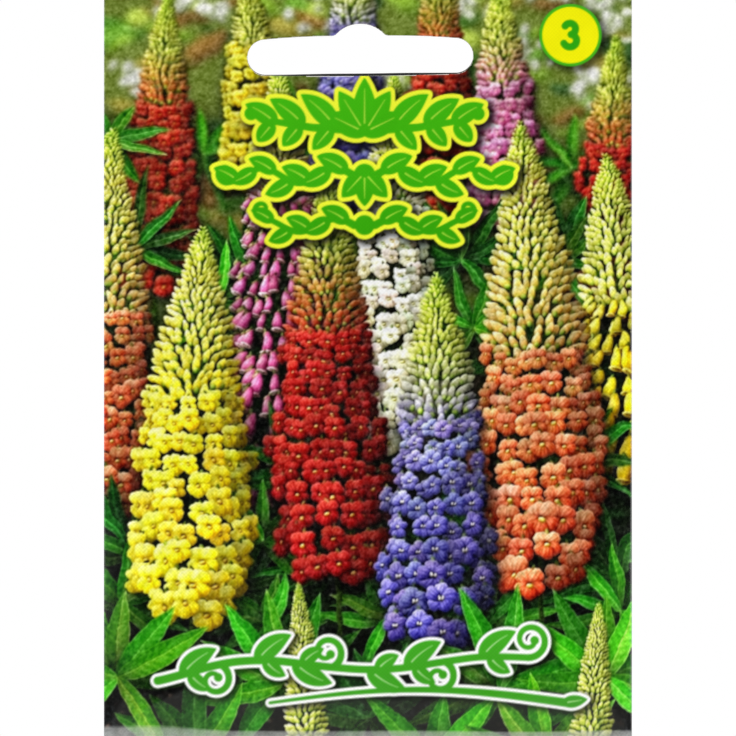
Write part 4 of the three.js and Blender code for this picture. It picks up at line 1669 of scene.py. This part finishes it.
# The lights: where each stands and its size, in metres, and its power in watts
LIGHTS = {
    "key_left": ((-0.95, -0.68, 0.4), (0.7, 0.9), 15.2),
    "key_right": ((1.0, -0.64, 0.25), (0.7, 0.9), 9.4),
    "over": ((0.0, 0.1, 0.75), (0.8, 0.8), 3.0),
    "behind": ((0.6, 0.7, 0.45), (0.7, 0.7), 4.4),
    "low_strip": ((0.0, -0.35, -0.55), (0.5, 0.12), 0.9),
}
FLOOR_RADIUS, FLOOR_DROP = 0.2, 0.022
FLOOR_AROUND, FLOOR_RINGS = 96, 12


def set_camera():
    """Square to the front, far enough off to look flat, as a scanner does."""
    px = WIDTH / (PACKET_RIGHT_PX - PACKET_LEFT_PX)
    data = bpy.data.cameras.new("camera")
    data.lens, data.sensor_width = LENS, SENSOR
    data.clip_start, data.clip_end = 0.01, 20
    camera = in_scene("camera", data)
    across = LEFT + (PHOTO_SIZE / 2 - PACKET_LEFT_PX) * px
    up = BOTTOM + (PACKET_BOTTOM_PX - PHOTO_SIZE / 2) * px
    distance = PHOTO_SIZE * px * LENS / SENSOR
    camera.location = (across * MM, -distance * MM, up * MM)
    camera.rotation_euler = (UP, 0, 0)
    bpy.context.scene.camera = camera


def set_lights():
    """Soft lights from both sides, as a scanner's lamps give, and weaker ones for the other views."""
    middle = Vector((MIDDLE, 0, (TOP + BOTTOM) / 2)) * MM
    for name, (place, size, power) in LIGHTS.items():
        data = bpy.data.lights.new(name, "AREA")
        data.shape = "RECTANGLE"
        data.size, data.size_y = size
        data.energy = power
        light = in_scene(name, data)
        light.location = place
        light.rotation_euler = (middle - Vector(place)).to_track_quat("-Z", "Y").to_euler()


def set_surround():
    """White where the camera looks past the packet. As a light it is dim, and dimmest from the front."""
    world = bpy.data.worlds.new("studio")
    world.use_nodes = True
    tree = world.node_tree
    tree.nodes.clear()
    way = node(tree, "TexCoord", give="Generated")
    depth = node(tree, "SeparateXYZ", {"Vector": way}, "Y")
    dim_front = {"Value": depth, "From Min": -0.95, "From Max": -0.3, "To Min": 0.02, "To Max": 0.5}
    soft = node(tree, "MapRange", dim_front, "Result")
    seen = node(tree, "LightPath", give="Is Camera Ray")
    strength = node(tree, "MapRange", {"Value": seen, "To Min": soft, "To Max": 1.0}, "Result")
    shader = node(tree, "Background", {"Color": (1, 1, 1, 1), "Strength": strength}, "Background")
    node(tree, "OutputWorld", {"Surface": shader})
    bpy.context.scene.world = world


def make_floor():
    """A disc of painted board a little below the packet."""
    centre = Vector((MIDDLE * MM, 0, BOTTOM * MM - FLOOR_DROP))
    points = [centre]
    for r in range(1, FLOOR_RINGS + 1):
        for k in range(FLOOR_AROUND):
            a = k / FLOOR_AROUND * 2 * math.pi
            points.append(centre + Vector((math.cos(a), math.sin(a), 0)) * FLOOR_RADIUS * r / FLOOR_RINGS)
    mesh = bpy.data.meshes.new("floor")
    mesh.from_pydata(points, [], ring_faces(FLOOR_AROUND, FLOOR_RINGS))
    mesh.materials.append(painted_board(centre, FLOOR_RADIUS))
    in_scene("floor", mesh)


# ---------------------------------------------------------------------------
# The scene
# ---------------------------------------------------------------------------

set_camera()
set_lights()
set_surround()
make_floor()

bpy.context.scene.view_settings.view_transform = "Standard"

sheet = make_sheet()
sheet.data.materials.append(gloss_coated_paper())
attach(sheet, "root")
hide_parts("folded_sheet")

seed_coat = dry_seed_coat()
for seed_name in SEED_NAMES:
    bean = make_seed(seed_name)
    bean.data.materials.append(seed_coat)
    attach(bean, "root")
    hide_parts(seed_name)
